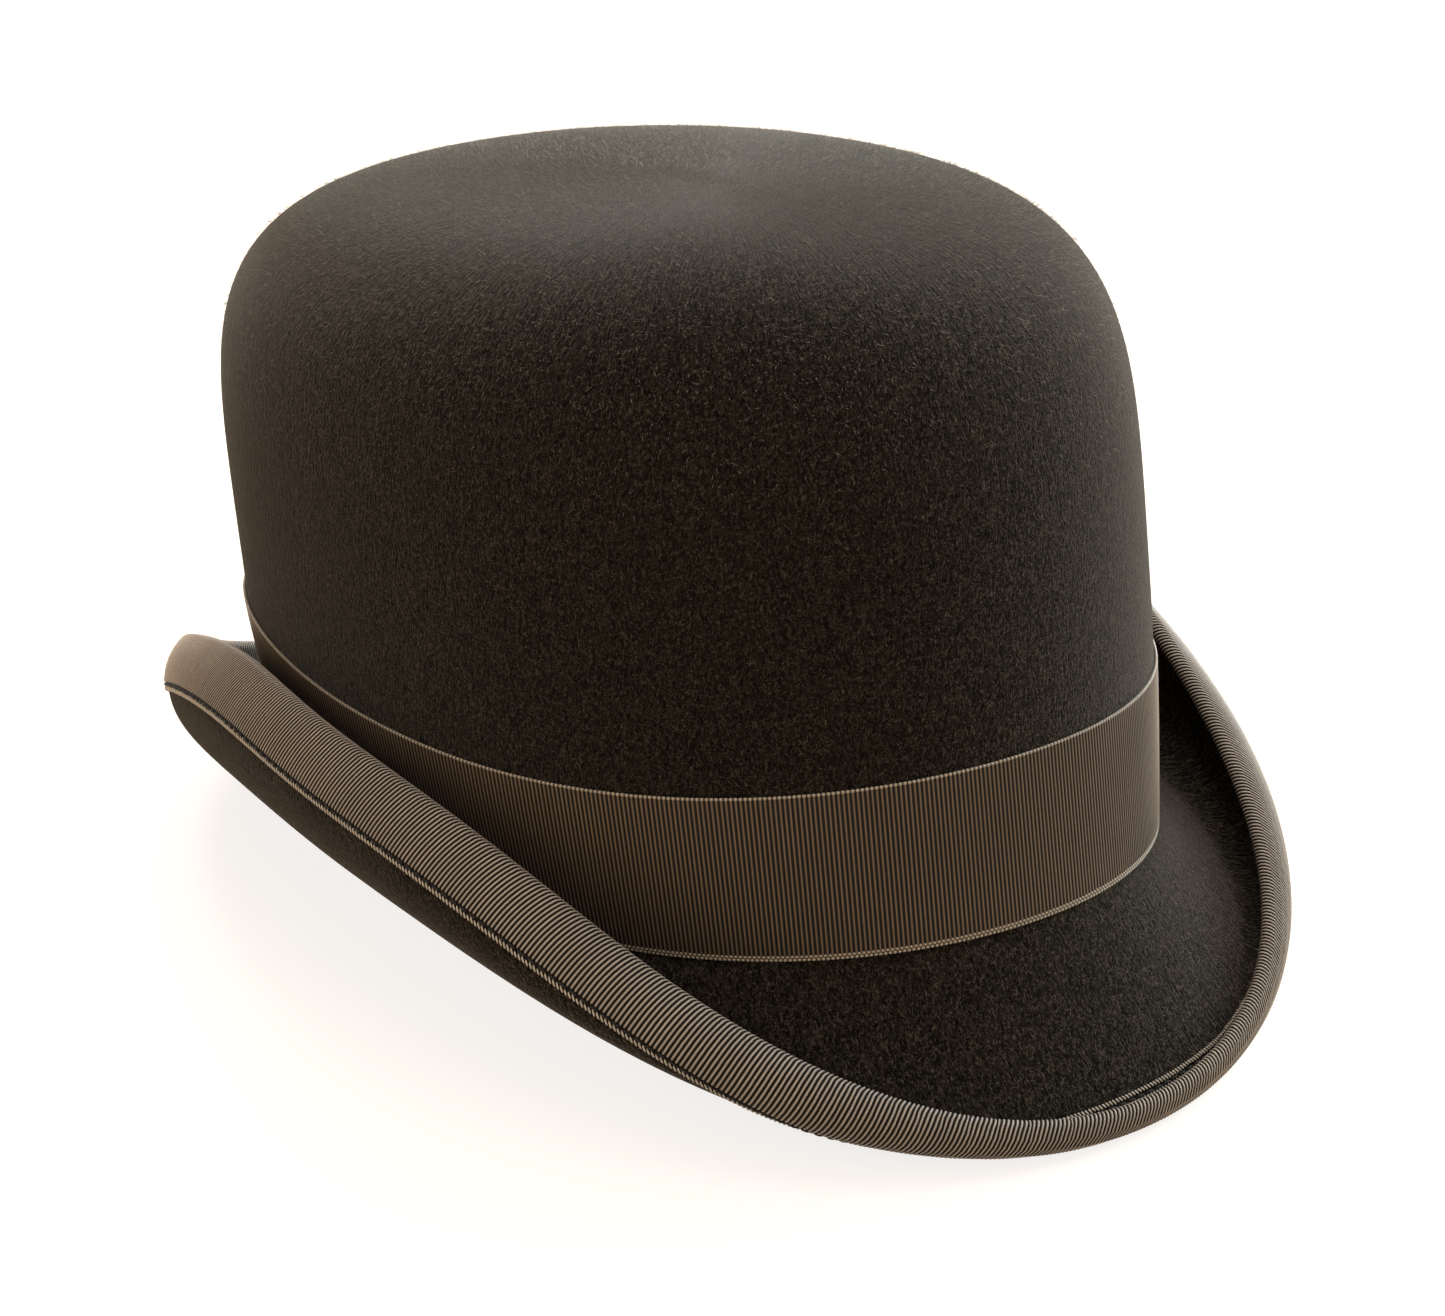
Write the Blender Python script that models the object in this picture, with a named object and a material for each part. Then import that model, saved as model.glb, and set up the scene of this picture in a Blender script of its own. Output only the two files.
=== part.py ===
"""Bowler hat: a hard felt shell with a curled brim, ribbon trimmings, leather sweatband and satin lining.

Everything is laid out round the hat's oval. An angle of 0 looks out over the front (-Y), a quarter turn
is the wearer's right (-X), a half turn the back (+Y) and three quarters the wearer's left (+X), where
the bow sits. Sizes that change round the oval are given at five stations, from the front to the back.
"""
import bpy
from functools import lru_cache
from math import acos, atan2, ceil, copysign, cos, floor, pi, sin
from mathutils import Matrix, Vector

MM = 0.001
GAP = 0.3 * MM                      # air left between pieces that touch

# Felt shell: the oval at the foot of the crown, outside
HALF_LENGTH = 106.8 * MM
HALF_WIDTH = 85.6 * MM
OVAL_POWER = 2.06                   # 2 is an ellipse, more is squarer
EGG = 0.06                          # how much wider the back of the oval is than its middle
FELT = 2.0 * MM                     # thickness of the felt

# Crown, measured from the level where it meets the brim
CROWN_HEIGHT = 135.0 * MM
SHOULDER_START = 46.5 * MM          # the wall ends and the dome begins
BULGE = (-0.7 * MM, 2.5 * MM, 5.6 * MM, 7.7 * MM, 9.7 * MM)    # front, quarter, side, quarter, back
BULGE_POWER = 1.7                   # how soon the wall swells out above its foot
DOME_ROUNDNESS = 4.1                # power of the dome's curve, across
DOME_FLATNESS = 4.9                 # power of the dome's curve, upwards
CROWN_LEAN = 13.6 * MM              # how far the crown's top sits behind its foot
TOP_TILT = -0.01                    # slope of the crown's top along +Y

# Line where brim and crown meet, above or below the crown's zero level
BREAK_LINE = (-1.0 * MM, -3.4 * MM, -0.3 * MM, 6.4 * MM, 1.8 * MM)
BREAK_RADIUS = 2.5 * MM             # bend of the felt there

# Brim, along the felt from the break to its edge
BRIM_WIDTH = (48.2 * MM, 47.0 * MM, 47.2 * MM, 49.4 * MM, 51.8 * MM)
CURL_START = (40.3 * MM, 20.5 * MM, -3.0 * MM, 10.6 * MM, 27.1 * MM)
BRIM_SLOPE = (-64.0, -46.5, -7.0, -21.0, -40.0)         # degrees, at the break
EDGE_SLOPE = (105.0, 162.0, 132.0, 143.0, 74.0)         # degrees, at the edge
BRIM_SWEEP = 14.0                   # degrees that the brim's flat part turns up over its width

# Grosgrain ribbon
RIBBON = 0.5 * MM
BAND_WIDTH = 34.5 * MM
BAND_FOOT = 2.0 * MM                # lower edge of the band above the break
BINDING_OUTER = 13.6 * MM           # leaf on the underside of the brim
BINDING_INNER = 10.6 * MM           # leaf on its upper side
BINDING_AIR = 0.5 * MM              # between binding and felt, wider as their facets twist

# Bow on the band, on the wearer's left
BOW_HALF_LENGTH = 33.0 * MM
BOW_HALF_HEIGHT = 16.5 * MM
BOW_WAIST = 14.5 * MM               # half height under the knot
BOW_FULLNESS = 2.0 * MM             # distance between the two layers at a loop's end
KNOT_HALF_WIDTH = 7.0 * MM

# Inside: sweatband, reed and lining
LEATHER = 0.8 * MM
SWEATBAND_HEIGHT = 57.0 * MM
REED_RADIUS = 1.0 * MM
REED_HEIGHT = 2.0 * MM              # centre of the reed above the break
REED_TAPE = 0.3 * MM
REED_TAPE_HEIGHT = 9.0 * MM
SATIN = 0.3 * MM
TIP_GAP = 0.1                       # share of a ring left free between the lining's side and its tip
PIPING_RADIUS = 0.9 * MM
BACK_BOW_HALF_LENGTH = 9.0 * MM
BACK_BOW_HALF_HEIGHT = 3.0 * MM
BACK_BOW_WAIST = 2.4 * MM
BACK_BOW_FULLNESS = 1.5 * MM
BACK_KNOT_HALF_WIDTH = 1.6 * MM
BACK_BOW_HEIGHT = 15.0 * MM         # centre of the small bow above the break
BACK_RIBBON = 0.3 * MM

# Threads
THREAD_RADIUS = 0.3 * MM
THREAD_LIFT = 0.5 * MM              # air between the binding and its stitches
BINDING_SEAM = 1.4 * MM             # stitches in from the binding's selvage
SWEATBAND_SEAM = 2.5 * MM           # stitches above the leather's lower edge
LACE_PITCH = 4.0 * MM
LACE_HALF_WIDTH = 2.0 * MM

# Facets
AROUND = 48
DOME_RINGS = 7
WALL_RINGS = 3
FLAT_RINGS = 5
MARCH = 40                          # steps when a section of the brim is followed
EDGE_SPACING = 1.9 * MM             # most between two rings near the brim's edge
FOLD_STEPS = 4
BOW_FOLD_STEPS = 4
TAPE_STEPS = 5
LINING_FOOT_RING = 2                # wall ring where the lining starts, behind the sweatband
SEAM_RING = 5                       # dome ring of the lining's piped seam
CORD_FINE = 0.6 * MM                # thinner cords get four sides, thicker ones six


# ---------------------------------------------------------------- shapes that the pieces share

@lru_cache(maxsize=None)
def around(stations, angle):
    """Value at an angle of a smooth, left-right symmetric curve through equally spaced stations."""
    last = len(stations) - 1
    total = 0.0
    for k in range(last + 1):
        coefficient = 0.0
        for j, value in enumerate(stations):
            weight = 0.5 if j in (0, last) else 1.0
            coefficient += weight * value * cos(k * pi * j / last)
        if k in (0, last):
            coefficient *= 0.5
        total += coefficient * 2.0 / last * cos(k * angle)
    return total


def ring_angles():
    """Angles of the facets' corners: a facet, not a corner, faces the front and the back."""
    return [2 * pi * (k + 0.5) / AROUND for k in range(AROUND)]


def oval(share):
    return copysign(abs(share) ** (2.0 / OVAL_POWER), share)


def crown_point(angle, height, out=0.0):
    """Point `out` outside the crown's outer face."""
    top = CROWN_HEIGHT + out
    rise = max(0.0, height - SHOULDER_START) / (top - SHOULDER_START)
    radial = max(0.0, 1.0 - min(rise, 1.0) ** DOME_FLATNESS) ** (1.0 / DOME_ROUNDNESS)
    below = max(0.0, 1.0 - height / SHOULDER_START)
    bulge = around(BULGE, angle) * (1.0 - below ** BULGE_POWER)
    x = -(HALF_WIDTH + bulge + out) * radial * oval(sin(angle))
    y = -(HALF_LENGTH + bulge + out) * radial * oval(cos(angle))
    x *= 1.0 + EGG * y / HALF_LENGTH
    share = height / CROWN_HEIGHT
    y += CROWN_LEAN * share
    return Vector((x, y, height + TOP_TILT * y * max(0.0, min(share, 1.0))))


def break_height(angle):
    return around(BREAK_LINE, angle)


def wall_point(angle, above_break, out):
    """Point on the crown's wall, given by its height above the break line."""
    return crown_point(angle, break_height(angle) + above_break, out)


def facet_point(angle, above_break, out):
    """Point on the flat facet that a strip on the wall has at this angle."""
    place = angle / (2 * pi) * AROUND - 0.5
    before = floor(place)
    share = place - before
    first, last = [wall_point(2 * pi * (k + 0.5) / AROUND, above_break, out) for k in (before, before + 1)]
    return first.lerp(last, share)


def dome_height(turn, out):
    """Height on the dome: turn 0 is the shoulder's start and turn 1 the top."""
    psi = 0.5 * pi * turn * turn * (3.0 - 2.0 * turn)
    top = CROWN_HEIGHT + out
    return SHOULDER_START + (top - SHOULDER_START) * sin(psi) ** (2.0 / DOME_FLATNESS)


def dome_ring(angle, ring, out):
    """Corner of a facet ring on the dome, counted up from the shoulder's start."""
    return crown_point(angle, dome_height(ring / DOME_RINGS, out), out)


def wall_ring(angle, ring, out):
    """Corner of a facet ring on the wall, counted down from the shoulder's start."""
    low = break_height(angle) + BREAK_RADIUS
    return crown_point(angle, SHOULDER_START + (low - SHOULDER_START) * ring / WALL_RINGS, out)


@lru_cache(maxsize=None)
def outward(angle):
    """Level unit vector square to the break line, pointing away from the head."""
    step = 0.001
    ahead = wall_point(angle + step, 0.0, 0.0)
    behind = wall_point(angle - step, 0.0, 0.0)
    normal = Vector((ahead.y - behind.y, behind.x - ahead.x, 0.0)).normalized()
    return normal if normal.dot(Vector((ahead.x, ahead.y, 0.0))) > 0 else -normal


def brim_slope(angle, distance):
    """Slope of the brim, in radians, at a distance along the felt from the break."""
    width = around(BRIM_WIDTH, angle)
    start = around(CURL_START, angle)
    first = around(BRIM_SLOPE, angle)
    last = around(EDGE_SLOPE, angle)
    curl = max(0.0, distance - start) / (width - start)
    return (first + BRIM_SWEEP * distance / width + (last - first - BRIM_SWEEP) * curl) * pi / 180


def brim_middle(angle, distance):
    """Point in the middle of the felt at a distance along it from the break."""
    step = distance / MARCH
    slopes = [brim_slope(angle, (k + 0.5) * step) for k in range(MARCH)]
    reach = step * sum(cos(slope) for slope in slopes)
    rise = step * sum(sin(slope) for slope in slopes)
    return wall_point(angle, 0.0, 0.0) + outward(angle) * reach + Vector((0.0, 0.0, rise))


@lru_cache(maxsize=None)
def brim_frame(angle, inset):
    """Middle of the felt at a distance in from the edge, with its directions down and outwards."""
    turn, step = 0.002, 0.05 * MM
    distance = around(BRIM_WIDTH, angle) - inset
    here = brim_middle(angle, distance)
    across = brim_middle(angle, distance + step) - brim_middle(angle, distance - step)
    beside = [brim_middle(near, around(BRIM_WIDTH, near) - inset) for near in (angle - turn, angle + turn)]
    along = beside[1] - beside[0]
    down = across.cross(along).normalized()
    slope = brim_slope(angle, distance)
    if down.dot(outward(angle) * sin(slope) - Vector((0.0, 0.0, cos(slope)))) < 0:
        down = -down
    ahead = along.cross(down).normalized()
    if ahead.dot(across) < 0:
        ahead = -ahead
    return here, down, ahead


def brim_point(angle, inset, off, ahead=0.0):
    """Point beside the felt: `off` is towards the brim's underside, `ahead` away from the crown."""
    middle, down, outwards = brim_frame(angle, inset)
    return middle + down * off + outwards * ahead


def edge_insets():
    """Distances in from the brim's edge that felt, binding and stitches share, so that they match."""
    leaves = (BINDING_OUTER, BINDING_INNER)
    needed = sorted({0.0, *leaves, *[leaf - BINDING_SEAM for leaf in leaves]}, reverse=True)
    insets = [needed[0]]
    for first, last in zip(needed, needed[1:]):
        parts = max(1, ceil((first - last) / EDGE_SPACING - 0.01))
        insets += [first + (last - first) * k / parts for k in range(1, parts + 1)]
    return insets


# ---------------------------------------------------------------- mesh helpers

def material(name, colour, roughness, metallic=0.0):
    made = bpy.data.materials.new(name)
    made.use_nodes = True
    shader = made.node_tree.nodes["Principled BSDF"]
    shader.inputs["Base Color"].default_value = (*colour, 1.0)
    shader.inputs["Roughness"].default_value = roughness
    shader.inputs["Metallic"].default_value = metallic
    made.diffuse_color = (*colour, 1.0)
    return made


def add_object(name, data, finish):
    made = bpy.data.objects.new(name, data)
    bpy.context.scene.collection.objects.link(made)
    data.materials.append(finish)
    return made


def sheet(name, rows, thickness, finish, apex=None):
    """Closed sheet of one thickness, from the rows of its middle surface; the rows close in a ring.

    The facets of the first half of the rows are split one way and the rest the mirrored way.
    """
    points = [point for row in rows for point in row]
    wide = len(rows[0])
    faces = []
    for i in range(len(rows)):
        here = i * wide
        ahead = (i + 1) % len(rows) * wide
        for j in range(wide - 1):
            if 2 * i < len(rows):
                faces.append((here + j, here + j + 1, ahead + j))
                faces.append((here + j + 1, ahead + j + 1, ahead + j))
            else:
                faces.append((here + j, here + j + 1, ahead + j + 1))
                faces.append((here + j, ahead + j + 1, ahead + j))
        if apex is not None:
            faces.append((here, ahead, len(points)))
    if apex is not None:
        points.append(apex)
    mesh = bpy.data.meshes.new(name)
    mesh.from_pydata(points, [], faces)
    mesh.shade_smooth()
    made = add_object(name, mesh, finish)
    shell = made.modifiers.new("thickness", "SOLIDIFY")
    shell.thickness = thickness
    shell.offset = 0.0
    shell.use_even_offset = True
    return made


def cord(name, points, radius, finish, closed=True):
    """Round cord or thread along a line of points."""
    curve = bpy.data.curves.new(name, "CURVE")
    curve.dimensions = "3D"
    curve.bevel_depth = radius
    curve.bevel_resolution = 0 if radius < CORD_FINE else 1
    curve.use_fill_caps = not closed
    spline = curve.splines.new("POLY")
    spline.points.add(len(points) - 1)
    for slot, point in zip(spline.points, points):
        slot.co = (*point, 1.0)
    spline.use_cyclic_u = closed
    return add_object(name, curve, finish)


def smooth(share):
    share = max(0.0, min(1.0, share))
    return share * share * (3.0 - 2.0 * share)


# ---------------------------------------------------------------- felt and its trimmings

def felt_body(finish):
    """Crown and brim, blocked from one piece of felt."""
    middle = -0.5 * FELT
    insets = edge_insets()
    rows = []
    for angle in ring_angles():
        row = [dome_ring(angle, k, middle) for k in range(DOME_RINGS - 1, -1, -1)]
        row += [wall_ring(angle, k, middle) for k in range(1, WALL_RINGS + 1)]
        first = around(BRIM_WIDTH, angle) - BREAK_RADIUS
        flat = [first + (insets[0] - first) * k / FLAT_RINGS for k in range(FLAT_RINGS)]
        corner = wall_point(angle, 0.0, middle)
        row.append(row[-1] * 0.25 + corner * 0.5 + brim_point(angle, first, 0.0) * 0.25)
        row += [brim_point(angle, inset, 0.0) for inset in flat + insets]
        rows.append(row)
    apex = crown_point(0.0, CROWN_HEIGHT + middle, middle)
    return sheet("felt_body", rows, FELT, finish, apex)


def brim_binding(finish):
    """Ribbon folded over the brim's edge: outer leaf, round the edge, inner leaf."""
    off = 0.5 * FELT + BINDING_AIR + 0.5 * RIBBON
    insets = edge_insets()
    outer = [inset for inset in insets if inset <= BINDING_OUTER + 1e-6]
    inner = [inset for inset in reversed(insets) if inset <= BINDING_INNER + 1e-6]
    rows = []
    for angle in ring_angles():
        row = [brim_point(angle, inset, off) for inset in outer]
        for k in range(1, FOLD_STEPS):
            turn = pi * k / FOLD_STEPS
            row.append(brim_point(angle, 0.0, off * cos(turn), off * sin(turn)))
        row += [brim_point(angle, inset, -off) for inset in inner]
        rows.append(row)
    return sheet("brim_binding", rows, RIBBON, finish)


def binding_stitches(name, leaf, side, finish):
    """Row of stitches through one leaf of the binding, beside its selvage."""
    off = side * (0.5 * FELT + BINDING_AIR + RIBBON + THREAD_LIFT + THREAD_RADIUS)
    points = []
    for angle in ring_angles():
        points.append(brim_point(angle, leaf - BINDING_SEAM, off))
    return cord(name, points, THREAD_RADIUS, finish)


def wall_strip(name, foot, head, out, thickness, finish, steps):
    """Strip standing on the crown's wall between two heights above the break."""
    rows = []
    for angle in ring_angles():
        rows.append([wall_point(angle, foot + (head - foot) * k / steps, out) for k in range(steps + 1)])
    return sheet(name, rows, thickness, finish)


def hat_band(finish):
    return wall_strip("hat_band", BAND_FOOT, BAND_FOOT + BAND_WIDTH, GAP + 0.5 * RIBBON, RIBBON, finish, 3)


# ---------------------------------------------------------------- bows

class BowPlace:
    """Where a bow lies: across an angle of the wall, on a face, puffing out or in from it."""

    def __init__(self, wall, angle, height, face, side, radius):
        self.wall = wall
        self.angle = angle
        self.height = height
        self.face = face
        self.side = side
        self.radius = radius

    def point(self, along, up, off):
        angle = self.angle + along / self.radius
        return self.wall(angle, self.height + up, self.face + self.side * off)


def bow_layers(along, half_length, ribbon, fullness):
    """Distances of a bow's two layers from the face that the bow lies on."""
    under = GAP + ribbon + GAP + 0.5 * ribbon
    least = ribbon + GAP
    return under, under + least + (fullness - least) * smooth(abs(along) / half_length)


def bow_fold(half_length, ribbon, fullness):
    """Round end of a loop, from its upper layer to its lower one."""
    under, over = bow_layers(half_length, half_length, ribbon, fullness)
    radius = 0.5 * (over - under)
    turns = [pi * k / BOW_FOLD_STEPS for k in range(1, BOW_FOLD_STEPS)]
    return [(half_length + radius * sin(turn), under + radius + radius * cos(turn)) for turn in turns]


def bow_ribbon(name, place, size, finish):
    """One ribbon folded into two flat loops."""
    half_length, half_height, waist, ribbon, fullness = size
    steps = 8
    outline = []
    for k in range(steps + 1):
        along = -half_length + 2.0 * half_length * k / steps
        outline.append((along, bow_layers(along, half_length, ribbon, fullness)[1]))
    outline += bow_fold(half_length, ribbon, fullness)
    for k in range(steps + 1):
        along = half_length - 2.0 * half_length * k / steps
        outline.append((along, bow_layers(along, half_length, ribbon, fullness)[0]))
    outline += [(-along, off) for along, off in reversed(bow_fold(half_length, ribbon, fullness))]
    rows = []
    for along, off in outline:
        height = waist + (half_height - waist) * smooth(2.0 * abs(along) / half_length)
        rows.append([place.point(along, height * v, off) for v in (-1.0, 0.0, 1.0)])
    return sheet(name, rows, ribbon, finish)


def bow_knot(name, place, size, half_width, finish):
    """Short ribbon wrapped round the middle of a bow."""
    half_length, half_height, waist, ribbon, fullness = size
    rows = []
    for face, up in ((1, -1.0), (1, 0.0), (1, 1.0), (0, 1.0), (0, 0.0), (0, -1.0)):
        row = []
        for along in (-half_width, 0.0, half_width):
            tall = waist + (half_height - waist) * smooth(2.0 * abs(along) / half_length)
            tall += GAP + ribbon
            over = bow_layers(along, half_length, ribbon, fullness)[1] + ribbon + GAP
            off = over if face else GAP + 0.5 * ribbon
            row.append(place.point(along, tall * up, off))
        rows.append(row)
    return sheet(name, rows, ribbon, finish)


# ---------------------------------------------------------------- inside the hat

def inside_faces():
    """Distances from the felt's outer face, inwards, to the middles of the strips inside the crown."""
    lining = -(FELT + GAP + 0.5 * SATIN)
    tape = -(FELT + GAP + 0.5 * REED_TAPE)
    flange = tape - REED_TAPE - GAP
    leather = flange - 0.5 * REED_TAPE - GAP - 0.5 * LEATHER
    return lining, tape, flange, leather


def leather_foot():
    """Height of the leather's lower edge above the break: just over the reed in its tape."""
    return REED_HEIGHT + REED_RADIUS + GAP + REED_TAPE + GAP


def sweatband(finish):
    leather = inside_faces()[3]
    return wall_strip("sweatband", leather_foot(), SWEATBAND_HEIGHT, leather, LEATHER, finish, 4)


def reed_place():
    """Distance in from the felt's outer face to the reed's centre."""
    return inside_faces()[1] - 0.5 * REED_TAPE - GAP - REED_RADIUS


def sweatband_reed(finish):
    points = [wall_point(angle, REED_HEIGHT, reed_place()) for angle in ring_angles()]
    return cord("sweatband_reed", points, REED_RADIUS, finish)


def reed_tape(finish):
    """Cloth tape folded round the reed; both its flanges stand between felt and leather."""
    _, tape, flange, _ = inside_faces()
    wrap = REED_RADIUS + GAP + 0.5 * REED_TAPE
    back = acos((flange - reed_place()) / wrap)
    rows = []
    for angle in ring_angles():
        centre = wall_point(angle, REED_HEIGHT, reed_place())
        row = [wall_point(angle, REED_TAPE_HEIGHT, tape)]
        for k in range(TAPE_STEPS):
            turn = (2.0 * pi - back) * k / TAPE_STEPS
            row.append(centre + outward(angle) * wrap * cos(turn) - Vector((0.0, 0.0, wrap * sin(turn))))
        row.append(wall_point(angle, REED_HEIGHT + wrap * sin(back), flange))
        row.append(wall_point(angle, REED_TAPE_HEIGHT, flange))
        rows.append(row)
    return sheet("reed_tape", rows, REED_TAPE, finish)


def sweatband_stitches(finish):
    out = inside_faces()[3] - 0.5 * LEATHER - GAP - THREAD_RADIUS
    height = leather_foot() + SWEATBAND_SEAM
    points = [wall_point(angle, height, out) for angle in ring_angles()]
    return cord("sweatband_stitches", points, THREAD_RADIUS, finish)


def back_lacing(finish):
    """Zigzag thread that joins the two ends of the leather at the back."""
    out = inside_faces()[3] - 0.5 * LEATHER - GAP - THREAD_RADIUS
    foot = BACK_BOW_HEIGHT + BACK_BOW_HALF_HEIGHT + LACE_PITCH
    head = SWEATBAND_HEIGHT - 0.5 * LACE_PITCH
    count = max(2, int((head - foot) / (0.5 * LACE_PITCH)))
    points = []
    for k in range(count + 1):
        side = LACE_HALF_WIDTH if k % 2 else -LACE_HALF_WIDTH
        height = foot + (head - foot) * k / count
        points.append(facet_point(pi + side / HALF_WIDTH, height, out))
    return cord("back_lacing", points, THREAD_RADIUS, finish, closed=False)


def lining_side(finish):
    """Satin band inside the crown's wall, from behind the sweatband up to the piped seam."""
    lining = inside_faces()[0]
    rows = []
    for angle in ring_angles():
        row = [wall_ring(angle, k, lining) for k in range(LINING_FOOT_RING, 0, -1)]
        row += [dome_ring(angle, k, lining) for k in range(SEAM_RING + 1)]
        rows.append(row)
    return sheet("lining_side", rows, SATIN, finish)


def lining_piping(finish):
    """Cord in the seam between the lining's side and its tip."""
    lining = inside_faces()[0]
    out = lining - 0.5 * SATIN - GAP - PIPING_RADIUS
    points = [dome_ring(angle, SEAM_RING, out) for angle in ring_angles()]
    return cord("lining_piping", points, PIPING_RADIUS, finish)


def lining_tip(finish):
    """Oval of satin under the crown's top, starting just inside the side band's edge."""
    lining = inside_faces()[0]
    rows = []
    for angle in ring_angles():
        row = [dome_ring(angle, k, lining) for k in range(DOME_RINGS - 1, SEAM_RING - 1, -1)]
        row[-1] = row[-1].lerp(row[-2], TIP_GAP)
        rows.append(row)
    apex = crown_point(0.0, CROWN_HEIGHT + lining, lining)
    return sheet("lining_tip", rows, SATIN, finish, apex)


# ---------------------------------------------------------------- the whole hat

def corners(objects):
    """World positions of all corners, as the viewport shows them."""
    bpy.context.view_layer.update()
    graph = bpy.context.evaluated_depsgraph_get()
    found = []
    for item in objects:
        shown = item.evaluated_get(graph)
        mesh = shown.to_mesh()
        found += [item.matrix_world @ vertex.co for vertex in mesh.vertices]
        shown.to_mesh_clear()
    return found


def stand_on_brim(objects):
    """Tip the hat until the front and the back of its brim touch the floor, and centre it there."""
    points = corners(objects)
    tip = 0.0
    for _ in range(5):
        turned = [Matrix.Rotation(tip, 3, "X") @ point for point in points]
        front = min((point for point in turned if point.y < 0), key=lambda point: point.z)
        back = min((point for point in turned if point.y > 0), key=lambda point: point.z)
        tip -= atan2(back.z - front.z, back.y - front.y)
    turned = [Matrix.Rotation(tip, 3, "X") @ point for point in points]
    low = [min(point[k] for point in turned) for k in range(3)]
    high = [max(point[k] for point in turned) for k in range(3)]
    stand = bpy.data.objects.new("hat", None)
    bpy.context.scene.collection.objects.link(stand)
    stand.rotation_euler = (tip, 0.0, 0.0)
    stand.location = (-0.5 * (low[0] + high[0]), -0.5 * (low[1] + high[1]), -low[2])
    for item in objects:
        item.parent = stand


def build():
    felt = material("felt", (0.035, 0.028, 0.022), 0.95)
    grosgrain = material("grosgrain", (0.075, 0.057, 0.042), 0.7)
    thread = material("thread", (0.06, 0.047, 0.036), 0.7)
    leather = material("leather", (0.11, 0.045, 0.02), 0.45)
    reed = material("reed", (0.75, 0.72, 0.62), 0.4)
    tape = material("tape", (0.02, 0.018, 0.016), 0.8)
    satin = material("satin", (0.62, 0.55, 0.42), 0.35)
    piping = material("piping", (0.11, 0.045, 0.02), 0.6)
    lace = material("lace", (0.6, 0.5, 0.36), 0.6)
    back_ribbon = material("back_ribbon", (0.015, 0.013, 0.012), 0.5)

    objects = [
        felt_body(felt),
        hat_band(grosgrain),
        brim_binding(grosgrain),
        binding_stitches("binding_stitches_outer", BINDING_OUTER, 1, thread),
        binding_stitches("binding_stitches_inner", BINDING_INNER, -1, thread),
        sweatband(leather),
        sweatband_reed(reed),
        reed_tape(tape),
        sweatband_stitches(lace),
        back_lacing(lace),
        lining_side(satin),
        lining_piping(piping),
        lining_tip(satin),
    ]

    bow = BowPlace(wall_point, 1.5 * pi, BAND_FOOT + 0.5 * BAND_WIDTH, GAP + RIBBON, 1, HALF_LENGTH)
    bow_size = (BOW_HALF_LENGTH, BOW_HALF_HEIGHT, BOW_WAIST, RIBBON, BOW_FULLNESS)
    objects.append(bow_ribbon("bow_ribbon", bow, bow_size, grosgrain))
    objects.append(bow_knot("bow_knot", bow, bow_size, KNOT_HALF_WIDTH, grosgrain))

    leather_face = inside_faces()[3] - 0.5 * LEATHER
    back = BowPlace(facet_point, pi, BACK_BOW_HEIGHT, leather_face, -1, HALF_WIDTH)
    back_size = (BACK_BOW_HALF_LENGTH, BACK_BOW_HALF_HEIGHT, BACK_BOW_WAIST, BACK_RIBBON, BACK_BOW_FULLNESS)
    objects.append(bow_ribbon("back_bow_ribbon", back, back_size, back_ribbon))
    objects.append(bow_knot("back_bow_knot", back, back_size, BACK_KNOT_HALF_WIDTH, back_ribbon))

    stand_on_brim(objects)


for old in list(bpy.data.objects):
    bpy.data.objects.remove(old, do_unlink=True)
build()
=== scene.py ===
"""Bowler hat, dressed: napped felt, ribbed ribbons with woven selvages, stitches, leather and satin.

Lengths are in metres. The hat is laid out round its oval, as its solids are: an angle of 0 looks out
over the front (-Y), a quarter turn is the wearer's right (-X), a half turn the back, and three quarters
the wearer's left, where the bow sits. Shapes are worked out with the crown upright, in arrays of
points, and to_row() then stands them where the solids stand.
"""
from math import acos, cos, pi, radians, sin, tau

import bpy
import numpy as np
from mathutils import Matrix, Vector


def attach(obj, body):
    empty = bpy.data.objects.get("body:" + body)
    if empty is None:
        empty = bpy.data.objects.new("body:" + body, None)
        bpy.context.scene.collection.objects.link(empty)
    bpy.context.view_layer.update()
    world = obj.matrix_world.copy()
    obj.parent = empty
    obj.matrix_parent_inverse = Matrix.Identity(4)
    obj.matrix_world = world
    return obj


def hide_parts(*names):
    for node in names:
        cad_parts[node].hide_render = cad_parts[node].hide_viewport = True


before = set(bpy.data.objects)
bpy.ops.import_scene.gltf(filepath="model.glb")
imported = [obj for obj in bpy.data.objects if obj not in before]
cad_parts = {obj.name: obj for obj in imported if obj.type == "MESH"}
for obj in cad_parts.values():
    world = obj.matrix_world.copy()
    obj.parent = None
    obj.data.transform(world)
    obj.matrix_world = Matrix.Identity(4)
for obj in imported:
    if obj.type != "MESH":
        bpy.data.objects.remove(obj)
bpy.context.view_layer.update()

MM = 0.001
GAP = 0.3 * MM  # air between pieces that touch

# How the upright crown's frame stands in the row frame
STAND_TIP = radians(-4.23)
STAND_SHIFT = np.array((0.0, -6.506, 28.498)) * MM

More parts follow.
